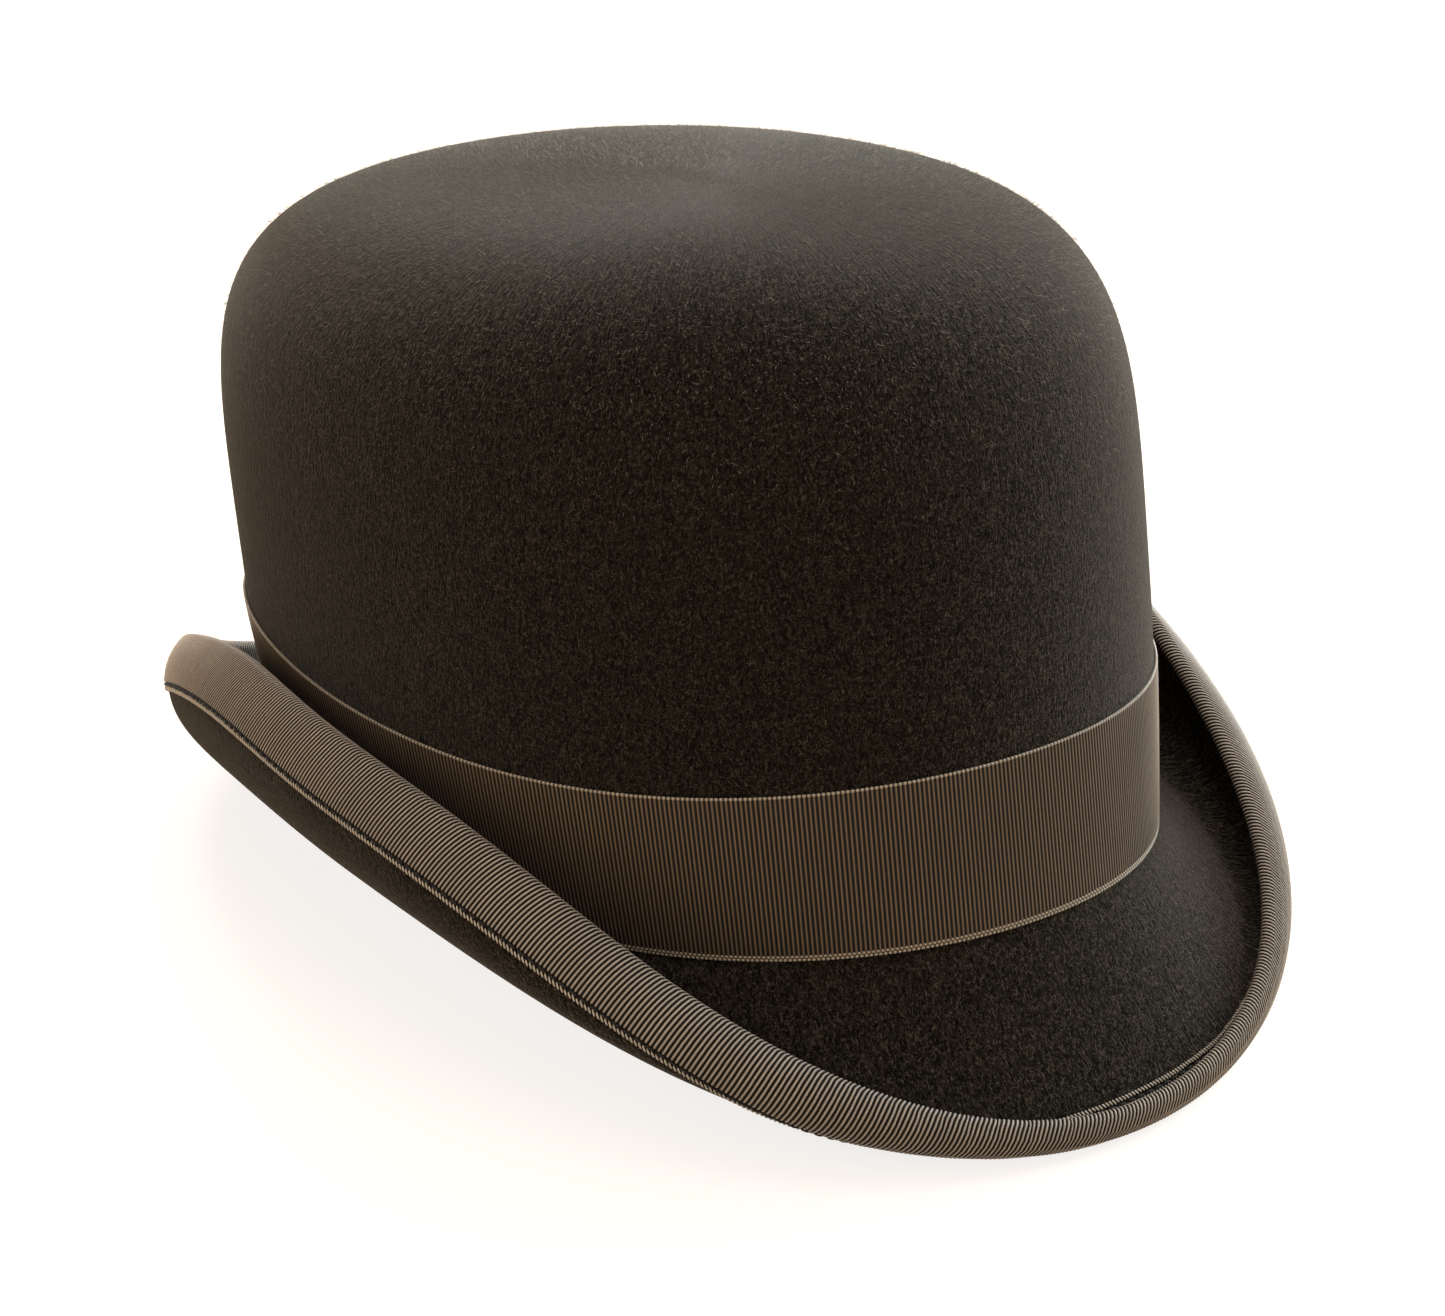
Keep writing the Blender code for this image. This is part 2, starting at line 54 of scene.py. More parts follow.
# Felt
HALF_LENGTH = 106.8 * MM
HALF_WIDTH = 85.6 * MM
OVAL_POWER = 2.06
EGG = 0.06
FELT = 2.0 * MM
CROWN_HEIGHT = 135.0 * MM
SHOULDER_START = 46.5 * MM
BULGE = np.array((-0.7, 2.5, 5.6, 7.7, 9.7)) * MM
BULGE_POWER = 1.7
DOME_ROUNDNESS = 4.1
DOME_FLATNESS = 4.9
CROWN_LEAN = 13.6 * MM
TOP_TILT = -0.01
BREAK_LINE = np.array((-1.0, -3.4, -0.3, 6.4, 1.8)) * MM
BREAK_RADIUS = 2.5 * MM
BRIM_WIDTH = np.array((48.2, 47.0, 47.2, 49.4, 51.8)) * MM
CURL_START = np.array((40.3, 20.5, -3.0, 10.6, 27.1)) * MM
BRIM_SLOPE = np.array((-64.0, -46.5, -7.0, -21.0, -40.0))
EDGE_SLOPE = np.array((105.0, 162.0, 132.0, 143.0, 74.0))
BRIM_SWEEP = 14.0
MARCH = 40  # steps from the break along the brim
DENSE = 2881  # places round the hat at which lengths are measured
FELT_COLUMNS = 480
DOME_ROWS = 42
WALL_ROWS = 12
BEND_ROWS = 5
BRIM_ROWS = 41

# Hairs that stand out of the felt
HAIR_SEED = 7
HAIR_COUNT = 19000
HAIR_RADIUS = 0.035 * MM
HAIR_LENGTHS = (0.45, 1.15)  # in mm
HAIR_LEANS = (15.0, 60.0)  # in degrees
HAIR_SPREAD = 0.7  # of their directions, in radians
HAIR_BEND = 0.35
HAIR_CROWDING = 0.6  # below 0.5 they crowd at the rim, above it in the middle

# Ribbon
RIBBON = 0.5 * MM
RIB_PITCH = 0.95 * MM
RIB_STEPS = 4  # rows of points to a rib
RIB_DEPTH = 0.36 * MM
BAND_RIB_DEPTH = 0.22 * MM  # the band's ribs lie flatter
BAND_WIDTH = 34.5 * MM
BAND_FOOT = 2.0 * MM
BINDING_OUTER = 13.2 * MM
BINDING_INNER = 10.6 * MM
BINDING_AIR = 0.12 * MM
BINDING_OFF = 0.5 * FELT + BINDING_AIR  # from the felt's middle to the binding's back
BINDING_SEAM = 1.4 * MM
SEAM_DIP = 0.3 * MM  # how far the stitches pull the ribbon in
SEAM_WIDTH = 0.3 * MM
NEAR_SELVAGE = np.array((0.0, 0.7, 1.15, 1.4, 1.65, 2.1)) * MM
RIB_START = 0.5 * MM  # how far from the seam the binding's ribs reach their full height
SELVAGE = 0.8 * MM  # where the other ribbons' ribs fade out
BEAD_RADIUS = 0.35 * MM  # loops of weft along the band's selvages
BEAD_SIDES = 8
BEAD_SINK = 0.1 * MM
SECOND_BEADS = 0.75 * MM  # height of their second row at the band's foot
LOOP_RADIUS = 0.19 * MM  # loops along the binding's selvages
LOOP_LENGTH = 1.045 * MM
LOOP_SLANT = 0.6  # in ribs
LOOP_REACH = 0.1 * MM  # past the selvage, and up in their middles
LOOP_UNEVENNESS = 0.12
BINDING_SLANT = -0.55  # how far the binding's ribs run round the hat, per length across it

# Bow
BOW_HALF_LENGTH = 33.0 * MM
BOW_HALF_HEIGHT = 16.5 * MM
BOW_WAIST = 14.5 * MM
BOW_FULLNESS = 2.0 * MM
KNOT_HALF_WIDTH = 7.0 * MM
BOW_COLUMNS = 23
KNOT_ROWS = 48

# Inside
INSIDE_COLUMNS = 420
LEATHER = 0.8 * MM
SWEATBAND_HEIGHT = 57.0 * MM
REED_RADIUS = 1.0 * MM
REED_HEIGHT = 2.0 * MM
REED_TAPE = 0.3 * MM
REED_TAPE_HEIGHT = 9.0 * MM
SATIN = 0.3 * MM
PIPING_RADIUS = 0.9 * MM
SEAM_TURN = 5.0 / 7.0  # where the lining's piped seam lies on the dome
BACK_BOW_HALF_LENGTH = 9.0 * MM
BACK_BOW_HALF_HEIGHT = 3.0 * MM
BACK_BOW_WAIST = 2.0 * MM
BACK_BOW_FULLNESS = 1.5 * MM
BACK_KNOT_HALF_WIDTH = 1.6 * MM
BACK_BOW_HEIGHT = 15.0 * MM
BACK_RIBBON = 0.3 * MM
THREAD_RADIUS = 0.2 * MM
THREAD_LIFT = 0.12 * MM
STITCH_PITCH = 2.6 * MM
STITCH_POINTS = 5
SWEATBAND_SEAM = 2.5 * MM
LEATHER_THREAD = 0.22 * MM
LEATHER_STITCH = 3.0 * MM
LEATHER_STITCH_POINTS = 6
LEATHER_STITCH_DIP = 0.35 * MM
LEATHER_GAP = 0.7 * MM  # half the gap between the leather's ends
LEATHER_LEAN = 0.35 * MM  # off the felt, over the upper part of its height
LEANING = 12.0 * MM
RIPPLE = 0.12 * MM
LACE_PITCH = 4.0 * MM
LACE_HALF_WIDTH = 2.0 * MM
LACE_RADIUS = 0.28 * MM
LACE_OFF = 0.3 * MM
LACE_DIP = 0.5 * MM
LINING_FOOT = 17.0 * MM  # above the break
PIPING_TWIST = 2.2 * MM
PIPING_SIDES = 16
PIPING_DROP = 0.5 * MM  # from the lining's face
STRAND = 0.14  # how deep its two strands are, of its radius
TWIST_STEPS = 8
SATIN_COLUMNS = 900
SATIN_LOW = 12  # rows of points below the dome, and then on it
SATIN_HIGH = 43
TIP_COLUMNS = 360
TIP_OVERLAP = 0.03  # how far past its seam the tip begins, counted as SEAM_TURN is
TIP_SAG = 1.6 * MM
TIP_PUCKER = 0.25 * MM

# Distances from the felt's outer face to the middles of the strips inside the crown
LINING_OUT = -(FELT + GAP + 0.5 * SATIN)
TAPE_OUT = -(FELT + GAP + 0.5 * REED_TAPE)
FLANGE_OUT = TAPE_OUT - REED_TAPE - GAP
LEATHER_OUT = FLANGE_OUT - 0.5 * REED_TAPE - GAP - 0.5 * LEATHER
LEATHER_FACE = LEATHER_OUT - 0.5 * LEATHER
LEATHER_FOOT = REED_HEIGHT + REED_RADIUS + GAP + REED_TAPE + GAP

UP = np.array((0.0, 0.0, 1.0))
OFF_AXIS = (0.13, 0.21, 1.0)  # along no thread of the hat


# ---------------- shapes that the pieces share

def around(stations, angle):
    """Value at each angle of a smooth, left-right symmetric curve through equally spaced stations."""
    last = len(stations) - 1
    total = np.zeros_like(angle, dtype=float)
    for k in range(last + 1):
        weights = np.ones(last + 1)
        weights[[0, last]] = 0.5
        coefficient = float(np.sum(weights * stations * np.cos(k * pi * np.arange(last + 1) / last)))
        if k in (0, last):
            coefficient *= 0.5
        total += coefficient * 2.0 / last * np.cos(k * angle)
    return total


def unit(vectors):
    return vectors / np.linalg.norm(vectors, axis=-1, keepdims=True)


def oval(share):
    return np.sign(share) * np.abs(share) ** (2.0 / OVAL_POWER)


def crown(angle, height, out=0.0):
    """Points `out` outside the crown's outer face."""
    angle, height, out = np.broadcast_arrays(angle, height, out)
    rise = np.clip(height - SHOULDER_START, 0.0, None) / (CROWN_HEIGHT + out - SHOULDER_START)
    radial = np.clip(1.0 - np.minimum(rise, 1.0) ** DOME_FLATNESS, 0.0, None) ** (1.0 / DOME_ROUNDNESS)
    below = np.clip(1.0 - height / SHOULDER_START, 0.0, None)
    bulge = around(BULGE, angle) * (1.0 - below ** BULGE_POWER)
    x = -(HALF_WIDTH + bulge + out) * radial * oval(np.sin(angle))
    y = -(HALF_LENGTH + bulge + out) * radial * oval(np.cos(angle))
    x = x * (1.0 + EGG * y / HALF_LENGTH)
    share = height / CROWN_HEIGHT
    y = y + CROWN_LEAN * share
    return np.stack((x, y, height + TOP_TILT * y * np.clip(share, 0.0, 1.0)), -1)


def wall(angle, above_break, out=0.0):
    return crown(angle, around(BREAK_LINE, angle) + above_break, out)


def dome_height(turn, out=0.0):
    """Height on the dome: turn 0 is the shoulder's start and turn 1 the top."""
    psi = 0.5 * pi * turn * turn * (3.0 - 2.0 * turn)
    return SHOULDER_START + (CROWN_HEIGHT + out - SHOULDER_START) * np.sin(psi) ** (2.0 / DOME_FLATNESS)


def outward(angle):
    """Level unit vectors square to the break line, pointing away from the head."""
    step = 0.001
    along = wall(angle + step, 0.0) - wall(angle - step, 0.0)
    normal = unit(np.stack((along[..., 1], -along[..., 0], np.zeros_like(angle)), -1))
    side = np.sum(normal * wall(angle, 0.0) * (1.0, 1.0, 0.0), -1, keepdims=True)
    return normal * np.sign(side)


def brim_slope(angle, distance):
    width = around(BRIM_WIDTH, angle)
    start = around(CURL_START, angle)
    first = around(BRIM_SLOPE, angle)
    last = around(EDGE_SLOPE, angle)
    curl = np.clip(distance - start, 0.0, None) / (width - start)
    return (first + BRIM_SWEEP * distance / width + (last - first - BRIM_SWEEP) * curl) * pi / 180


def brim_middle(angle, distance):
    """Points in the middle of the felt at distances along it from the break."""
    angle, distance = np.broadcast_arrays(angle, distance)
    step = distance / MARCH
    slopes = brim_slope(angle[..., None], (np.arange(MARCH) + 0.5) * step[..., None])
    reach = step * np.cos(slopes).sum(-1)
    rise = step * np.sin(slopes).sum(-1)
    return wall(angle, 0.0) + outward(angle) * reach[..., None] + UP * rise[..., None]


def brim_frame(angle, inset):
    """Middle of the felt at distances in from the edge, with its directions down and outwards."""
    angle, inset = np.broadcast_arrays(angle, inset)
    turn, step = 0.002, 0.05 * MM

    def at(angle, inset):
        return brim_middle(angle, around(BRIM_WIDTH, angle) - inset)

    distance = around(BRIM_WIDTH, angle) - inset
    here = brim_middle(angle, distance)
    across = brim_middle(angle, distance + step) - brim_middle(angle, distance - step)
    along = at(angle + turn, inset) - at(angle - turn, inset)
    down = unit(np.cross(across, along))
    slope = brim_slope(angle, distance)[..., None]
    below = outward(angle) * np.sin(slope) - UP * np.cos(slope)
    down = down * np.sign(np.sum(down * below, -1, keepdims=True))
    ahead = unit(np.cross(along, down))
    ahead = ahead * np.sign(np.sum(ahead * across, -1, keepdims=True))
    return here, down, ahead


def even_angles(path, count, start=0.0, end=tau):
    """Angles at equal lengths along a path round the hat; a whole turn leaves out its last one."""
    dense = np.linspace(start, end, DENSE)
    length = running(path(dense))
    whole = abs(end - start - tau) < 1e-9
    targets = np.linspace(0.0, length[-1], count + whole)[:count]
    return np.interp(targets, length, dense), length[-1]


def pitched_angles(path, pitch, steps):
    """Angles of `steps` places to a pitch, in whole pitches round a path, their number and its length."""
    count = round(even_angles(path, steps)[1] / pitch)
    angle, length = even_angles(path, count * steps)
    return angle, count, length


def grid_normals(points, wrap=True):
    """Unit normals of a grid of points (along, across)."""
    if wrap:
        along = np.roll(points, -1, axis=0) - np.roll(points, 1, axis=0)
    else:
        along = np.gradient(points, axis=0)
    return unit(np.cross(along, np.gradient(points, axis=1)))


def facing(normals, away):
    """Sign that turns a grid's normals to the side that `away` points to."""
    return np.sign(np.sum(normals * away))


def smooth(share):
    share = np.clip(share, 0.0, 1.0)
    return share * share * (3.0 - 2.0 * share)


def running(points):
    """Length run along a line at each of its points."""
    return np.concatenate(([0.0], np.cumsum(np.linalg.norm(np.diff(points, axis=0), axis=-1))))


def to_row(points):
    """From the upright crown's frame to the row frame."""
    x, y, z = points[..., 0], points[..., 1], points[..., 2]
    level, tip = cos(STAND_TIP), sin(STAND_TIP)
    return np.stack((x, y * level - z * tip, y * tip + z * level), -1) + STAND_SHIFT


# ---------------- mesh helpers

def linked(name, data):
    made = bpy.data.objects.new(name, data)
    bpy.context.scene.collection.objects.link(made)
    return made


def add_mesh(name, points, faces, finish, replaced=(), weave=None):
    """Closed mesh, riding on the hat, from the upright crown's points and groups of like-sided faces."""
    faces = [np.asarray(group, dtype=np.int32) for group in faces]
    points = to_row(np.asarray(points))
    volume = 0.0
    for group in faces:
        a = points[group[:, 0]]
        for k in range(1, group.shape[1] - 1):
            volume += float(np.sum(a * np.cross(points[group[:, k]], points[group[:, k + 1]])))
    if volume < 0.0:
        faces = [group[:, ::-1] for group in faces]
    mesh = bpy.data.meshes.new(name)
    mesh.vertices.add(len(points))
    mesh.vertices.foreach_set("co", points.astype(np.float32).ravel())
    corners = np.concatenate([group.ravel() for group in faces])
    sizes = np.concatenate([np.full(len(group), group.shape[1]) for group in faces])
    mesh.loops.add(len(corners))
    mesh.loops.foreach_set("vertex_index", corners)
    mesh.polygons.add(len(sizes))
    mesh.polygons.foreach_set("loop_start", (np.cumsum(sizes) - sizes).astype(np.int32))
    mesh.update(calc_edges=True)
    mesh.shade_smooth()
    if weave is not None:
        layer = mesh.attributes.new("weave", "FLOAT_VECTOR", "POINT")
        layer.data.foreach_set("vector", np.asarray(weave, dtype=np.float32).ravel())
    mesh.materials.append(finish)
    made = linked(name, mesh)
    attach(made, "root")
    if replaced:
        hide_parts(*replaced)
    return made


def grid_faces(rows, columns, wrap_rows=True, wrap_columns=True):
    """Quads of a grid of points numbered row by row."""
    i = np.arange(rows if wrap_rows else rows - 1)
    j = np.arange(columns if wrap_columns else columns - 1)
    i, j = np.meshgrid(i, j, indexing="ij")
    here, ahead = i * columns, (i + 1) % rows * columns
    beside = (j + 1) % columns
    return np.stack((here + j, here + beside, ahead + beside, ahead + j), -1).reshape(-1, 4)


def capped_mesh(name, front, back, poles, finish, replaced):
    """Shell of two surfaces (round, from the middle outwards), each closed by a fan round its pole."""
    section = np.concatenate((front, back[:, ::-1]), axis=1)
    rows, columns = section.shape[:2]
    first = np.arange(rows) * columns
    ahead = np.roll(first, -1)
    pole = np.full(rows, rows * columns)
    top = np.stack((pole, first, ahead), -1)
    under = np.stack((pole + 1, ahead + columns - 1, first + columns - 1), -1)
    points = np.concatenate((section.reshape(-1, 3), poles))
    faces = [grid_faces(rows, columns, True, False), top, under]
    return add_mesh(name, points, faces, finish, replaced)


def ribbon_mesh(name, points, thickness, finish, replaced, raise_by=0.0, weave=None, wrap=True,
                away=None):
    """Ribbon round a middle surface (along, across): its front may be raised, its back stays plain."""
    normals = grid_normals(points, wrap)
    if away is not None:
        normals = normals * facing(normals, away)
    raised = np.broadcast_to(raise_by, points.shape[:2])[..., None]
    front = points + normals * (0.5 * thickness + raised)
    back = (points - normals * 0.5 * thickness)[:, ::-1]
    section = np.concatenate((front, back), axis=1)
    rows, columns = section.shape[:2]
    faces = [grid_faces(rows, columns, wrap, True)]
    if not wrap:
        half = columns // 2
        for base in (0, (rows - 1) * columns):
            j = np.arange(half - 1)
            ends = np.stack((j, j + 1, columns - 2 - j, columns - 1 - j), -1) + base
            faces.append(ends if base == 0 else ends[:, ::-1])
    if weave is not None:
        weave = np.concatenate((weave, weave[:, ::-1]), axis=1).reshape(-1, 3)
    return add_mesh(name, section.reshape(-1, 3), faces, finish, replaced, weave)


def tube_sections(path, radius, sides, wrap):
    """Rings of points round a path; the radius may change along it."""
    along = np.roll(path, -1, axis=0) - np.roll(path, 1, axis=0) if wrap else np.gradient(path, axis=0)
    along = unit(along)
    side = unit(np.cross(along, np.broadcast_to(OFF_AXIS, along.shape)))
    other = np.cross(along, side)
    turn = (tau * np.arange(sides) / sides)[:, None]
    radius = np.broadcast_to(radius, path.shape[:1])[:, None, None]
    return path[:, None] + radius * (side[:, None] * np.cos(turn) + other[:, None] * np.sin(turn))


def closed_tube(name, rings, finish, replaced=(), weave=None):
    """Tube of rings of points that runs round into itself."""
    add_mesh(name, rings.reshape(-1, 3), [grid_faces(*rings.shape[:2])], finish, replaced, weave)


def short_threads(name, paths, radius, finish, replaced=(), sides=6, bright=False):
    """Separate round-ended threads in one mesh; bright ones have a selvage loop's weave height, which gives
    them the ribbon's edge colour, a painted highlight.
    """
    points, quads, tris = [], [], []
    count = 0
    for path in paths:
        share = np.linspace(0.0, 1.0, len(path))
        taper = np.sqrt(np.clip(1.0 - (2.0 * share - 1.0) ** 6, 0.04, 1.0))
        rings = tube_sections(path, radius * taper, sides, False).reshape(-1, 3)
        points += [rings, path[:1], path[-1:]]
        quads.append(grid_faces(len(path), sides, False, True) + count)
        j = np.arange(sides)
        beside = (j + 1) % sides
        tip = count + len(rings)
        end = tip - sides
        tris.append(np.stack((count + beside, count + j, np.full(sides, tip)), -1))
        tris.append(np.stack((end + j, end + beside, np.full(sides, tip + 1)), -1))
        count = tip + 2
    weave = np.tile((0.0, 0.0, 2.0), (count, 1)) if bright else None
    faces = [np.concatenate(quads), np.concatenate(tris)]
    add_mesh(name, np.concatenate(points), faces, finish, replaced, weave)


def rib_profile(phase):
    """Height of a rounded rib, from 0 in its grooves to 1 on top, at a place counted in ribs."""
    return np.abs(np.sin(pi * phase)) ** 1.5


# ---------------- materials

class Nodes:
    """A new material, or other owner of nodes, and short calls for building its node tree."""

    def __init__(self, name, kind="materials"):
        self.owner = getattr(bpy.data, kind).new(name)
        self.owner.use_nodes = True
        self.tree = self.owner.node_tree

    def feed(self, slot, value):
        """Gives a socket another node's output or a plain value."""
        if isinstance(value, bpy.types.NodeSocket):
            self.tree.links.new(value, slot)
        elif value is not None:
            slot.default_value = value

    def add(self, kind, *values, **settings):
        """New node; values go to its first sockets, settings to properties and named sockets."""
        node = self.tree.nodes.new("ShaderNode" + kind)
        for key, value in settings.items():
            if hasattr(node, key):
                setattr(node, key, value)
            else:
                self.feed(node.inputs[key.replace("_", " ")], value)
        for slot, value in zip(node.inputs, values):
            self.feed(slot, value)
        return node

    def place(self):
        return self.add("TexCoord").outputs["Object"]

    def attribute(self):
        return self.add("Attribute", attribute_name="weave").outputs["Vector"]

    def noise(self, scale, detail=2.0, roughness=0.5, vector=None, distortion=0.0):
        return self.add("TexNoise", Scale=scale, Detail=detail, Roughness=roughness, Distortion=distortion,
                        Vector=vector or self.place()).outputs["Fac"]

    def stretched(self, factors, vector, detail=2.0, roughness=0.6, distortion=0.0):
        """Noise with a scale of its own along each axis."""
        return self.noise(1.0, detail, roughness, self.scaled(factors, vector), distortion)

    def scaled(self, factors, vector):
        return self.add("VectorMath", vector, factors, operation="MULTIPLY").outputs["Vector"]

    def combed(self, place):
        """Place as the length round the hat's axis, the height and the distance from the axis."""
        x, y, z = (self.part(place, axis) for axis in "XYZ")
        level = self.add("VectorMath", self.scaled((1.0, 1.0, 0.0), place), operation="LENGTH")
        length = self.math("MULTIPLY", self.math("ARCTAN2", y, x), HALF_LENGTH)
        return self.add("CombineXYZ", length, z, level.outputs["Value"]).outputs[0]

    def part(self, vector, axis):
        return self.add("SeparateXYZ", vector).outputs[axis]

    def math(self, operation, first, second=0.5):
        return self.add("Math", first, second, operation=operation).outputs[0]

    def remap(self, value, low, high, to_low, to_high):
        return self.add("MapRange", value, low, high, to_low, to_high).outputs["Result"]

    def mix(self, factor, first, second):
        node = self.add("Mix", factor, data_type="RGBA")
        colours = [slot for slot in node.inputs if slot.type == "RGBA"]
        for slot, value in zip(colours, (first, second)):
            self.feed(slot, (*value, 1.0) if isinstance(value, tuple) else value)
        return next(slot for slot in node.outputs if slot.type == "RGBA")

    def blend(self, value, low, high, first, second, most=1.0):
        """From the first colour towards the second as a value rises from low to high."""
        return self.mix(self.remap(value, low, high, 0.0, most), first, second)

    def bump(self, height, strength, distance, before=None):
        return self.add("Bump", Strength=strength, Distance=distance, Height=height,
                        Normal=before).outputs["Normal"]

    def seen(self):
        """1 for what the camera, mirrors and glass see, and 0 for light that falls on the object."""
        path = self.add("LightPath").outputs
        most = path["Is Camera Ray"]
        for name in ("Is Glossy Ray", "Is Transmission Ray"):
            most = self.math("MAXIMUM", most, path[name])
        return most

    def finish(self, colour, roughness, normal=None, **settings):
        """Feeds the material's own shader."""
        inputs = self.tree.nodes["Principled BSDF"].inputs
        for key, value in dict(settings, Base_Color=colour, Roughness=roughness, Normal=normal).items():
            self.feed(inputs[key.replace("_", " ")], value)
        return self.owner


FELT_DARK = (0.0019, 0.0012, 0.0006)
FELT_BROWN = (0.0033, 0.0023, 0.0013)
FELT_GRAIN = (0.0222, 0.0164, 0.0106)
FELT_HAIR = (0.098, 0.077, 0.056)
HAIR_LINES = ((1000.0, 420.0, 0.022), (1500.0, 640.0, 0.028), (950.0, 1250.0, 0.030))


def felt_finish():
    """Brushed fur felt: near-black brown, its nap combed down and outwards, with short paler hairs in it.

    The nap's relief lies flatter round the crown's middle, where its combed lines would meet.
    """
    n = Nodes("felt_nap")
    place = n.place()
    combed = n.combed(place)
    cloud = n.noise(30.0, 3.0, 0.5, place)
    grain = n.stretched((1900.0, 800.0, 170.0), combed, distortion=0.8)
    locks = n.stretched((1000.0, 330.0, 110.0), combed, distortion=0.4)
    colour = n.blend(cloud, 0.35, 0.65, FELT_DARK, FELT_BROWN)
    colour = n.blend(grain, 0.44, 0.68, colour, FELT_GRAIN)
    hairs = None
    for across, along, width in HAIR_LINES:
        wisps = n.stretched((across, along, 0.25 * along), combed, 1.0, 0.5, 0.5)
        lines = n.remap(n.math("ABSOLUTE", n.math("SUBTRACT", wisps, 0.5)), 0.0, width, 1.0, 0.0)
        gaps = n.remap(n.noise(across * 1.1, 1.0, 0.5, place), 0.48, 0.6, 0.0, 1.0)
        broken = n.math("MULTIPLY", lines, gaps)
        hairs = broken if hairs is None else n.math("MAXIMUM", hairs, broken)
    colour = n.mix(n.math("MULTIPLY", hairs, 0.8), colour, FELT_HAIR)
    calm = n.remap(n.part(combed, "Z"), 8.0 * MM, 40.0 * MM, 0.15, 1.0)
    normal = n.bump(n.math("MULTIPLY", hairs, calm), 0.7, 0.14 * MM)
    normal = n.bump(n.math("MULTIPLY", grain, calm), 1.0, 0.36 * MM, normal)
    normal = n.bump(n.math("MULTIPLY", locks, calm), 0.6, 0.4 * MM, normal)
    return n.finish(colour, 0.95, normal, Sheen_Weight=0.325, Sheen_Roughness=0.30,
                    Sheen_Tint=(0.97, 0.88, 0.78, 1.0), Specular_IOR_Level=0.05)


def ribbon_finish(name, groove, ridge, edge, foot, sheen, specular):
    """Grosgrain: the weave attribute holds the place along, the place across and the rib's height.

    Heights from 0 to 1 run from the grooves to the ribs' tops, and up to 2 on the selvage's loops. The
    groove's colour is a painted shade and reaches up to the height `foot`. The pale ridge colour is partly
    the ribbon's own tone and partly a painted highlight on the ribs' tops, and the edge colour is a painted
    highlight on the loops.
    """
    n = Nodes(name)
    weave = n.attribute()
    top = n.part(weave, "Z")
    threads = n.stretched((1500.0, 5200.0, 0.0), weave)
    ribs = n.stretched((900.0, 60.0, 0.0), weave)
    cloud = n.noise(60.0, 3.0, 0.6)
    dull = tuple(0.55 * part for part in ridge)
    # ridge colour with random thread, cloud and rib tones; its paleness is partly a painted highlight
    ridge_sheen_and_tone = n.blend(threads, 0.3, 0.7, dull, ridge)
    ridge_sheen_and_tone = n.blend(cloud, 0.35, 0.7, ridge_sheen_and_tone, dull, 0.4)
    ridge_sheen_and_tone = n.blend(ribs, 0.4, 0.7, ridge_sheen_and_tone, dull, 0.5)
    # painted shade in the grooves below `foot`, painted highlight on the ribs' tops
    colour = n.blend(top, foot, 1.0, groove, ridge_sheen_and_tone)
    # painted highlight on the selvage's loops
    colour = n.blend(top, 1.0, 1.9, colour, edge)
    normal = n.bump(n.stretched((600.0, 7000.0, 0.0), weave, 1.0, 0.5), 0.4, 0.06 * MM)
    return n.finish(colour, n.remap(top, 0.3, 0.9, 0.8, 0.36), normal, Sheen_Weight=sheen,
                    Sheen_Roughness=0.3, Sheen_Tint=(1.0, 0.93, 0.86, 1.0), Specular_IOR_Level=specular,
                    Specular_Tint=(1.0, 0.88, 0.76, 1.0))


def thread_finish(name, dark, light, twist=1400.0):
    n = Nodes(name)
    grain = n.noise(twist, 3.0, 0.6)
    colour = n.blend(grain, 0.3, 0.7, dark, light)
    return n.finish(colour, n.remap(grain, 0.3, 0.7, 0.6, 0.8), n.bump(grain, 0.5, 0.08 * MM),
                    Sheen_Weight=0.04, Specular_IOR_Level=0.2)


def leather_finish():
    n = Nodes("sweatband_leather")
    place = n.place()
    cells = n.add("TexVoronoi", feature="DISTANCE_TO_EDGE", Scale=1100.0, Vector=place)
    grain = n.remap(cells.outputs["Distance"], 0.0, 0.25, 0.0, 1.0)
    cloud = n.noise(30.0, 4.0, 0.6, place)
    colour = n.blend(cloud, 0.3, 0.7, (0.085, 0.032, 0.014), (0.16, 0.068, 0.030))
    colour = n.mix(n.remap(grain, 0.0, 1.0, 0.35, 0.0), colour, (0.045, 0.016, 0.007))
    normal = n.bump(grain, 0.35, 0.08 * MM)
    normal = n.bump(n.noise(160.0, 3.0, 0.5, place), 0.2, 0.3 * MM, normal)
    return n.finish(colour, n.remap(cloud, 0.3, 0.7, 0.34, 0.5), normal, Specular_IOR_Level=0.45)


def satin_finish():
    n = Nodes("lining_satin")
    place = n.place()
    threads = n.stretched((2400.0, 2400.0, 420.0), place, roughness=0.5)
    cloud = n.noise(22.0, 3.0, 0.5, place)
    colour = n.blend(threads, 0.3, 0.7, (0.50, 0.43, 0.32), (0.66, 0.59, 0.46))
    colour = n.blend(cloud, 0.35, 0.75, colour, (0.42, 0.34, 0.24), 0.35)
    normal = n.bump(threads, 0.25, 0.05 * MM)
    return n.finish(colour, n.remap(threads, 0.3, 0.7, 0.26, 0.38), normal, Sheen_Weight=0.2)


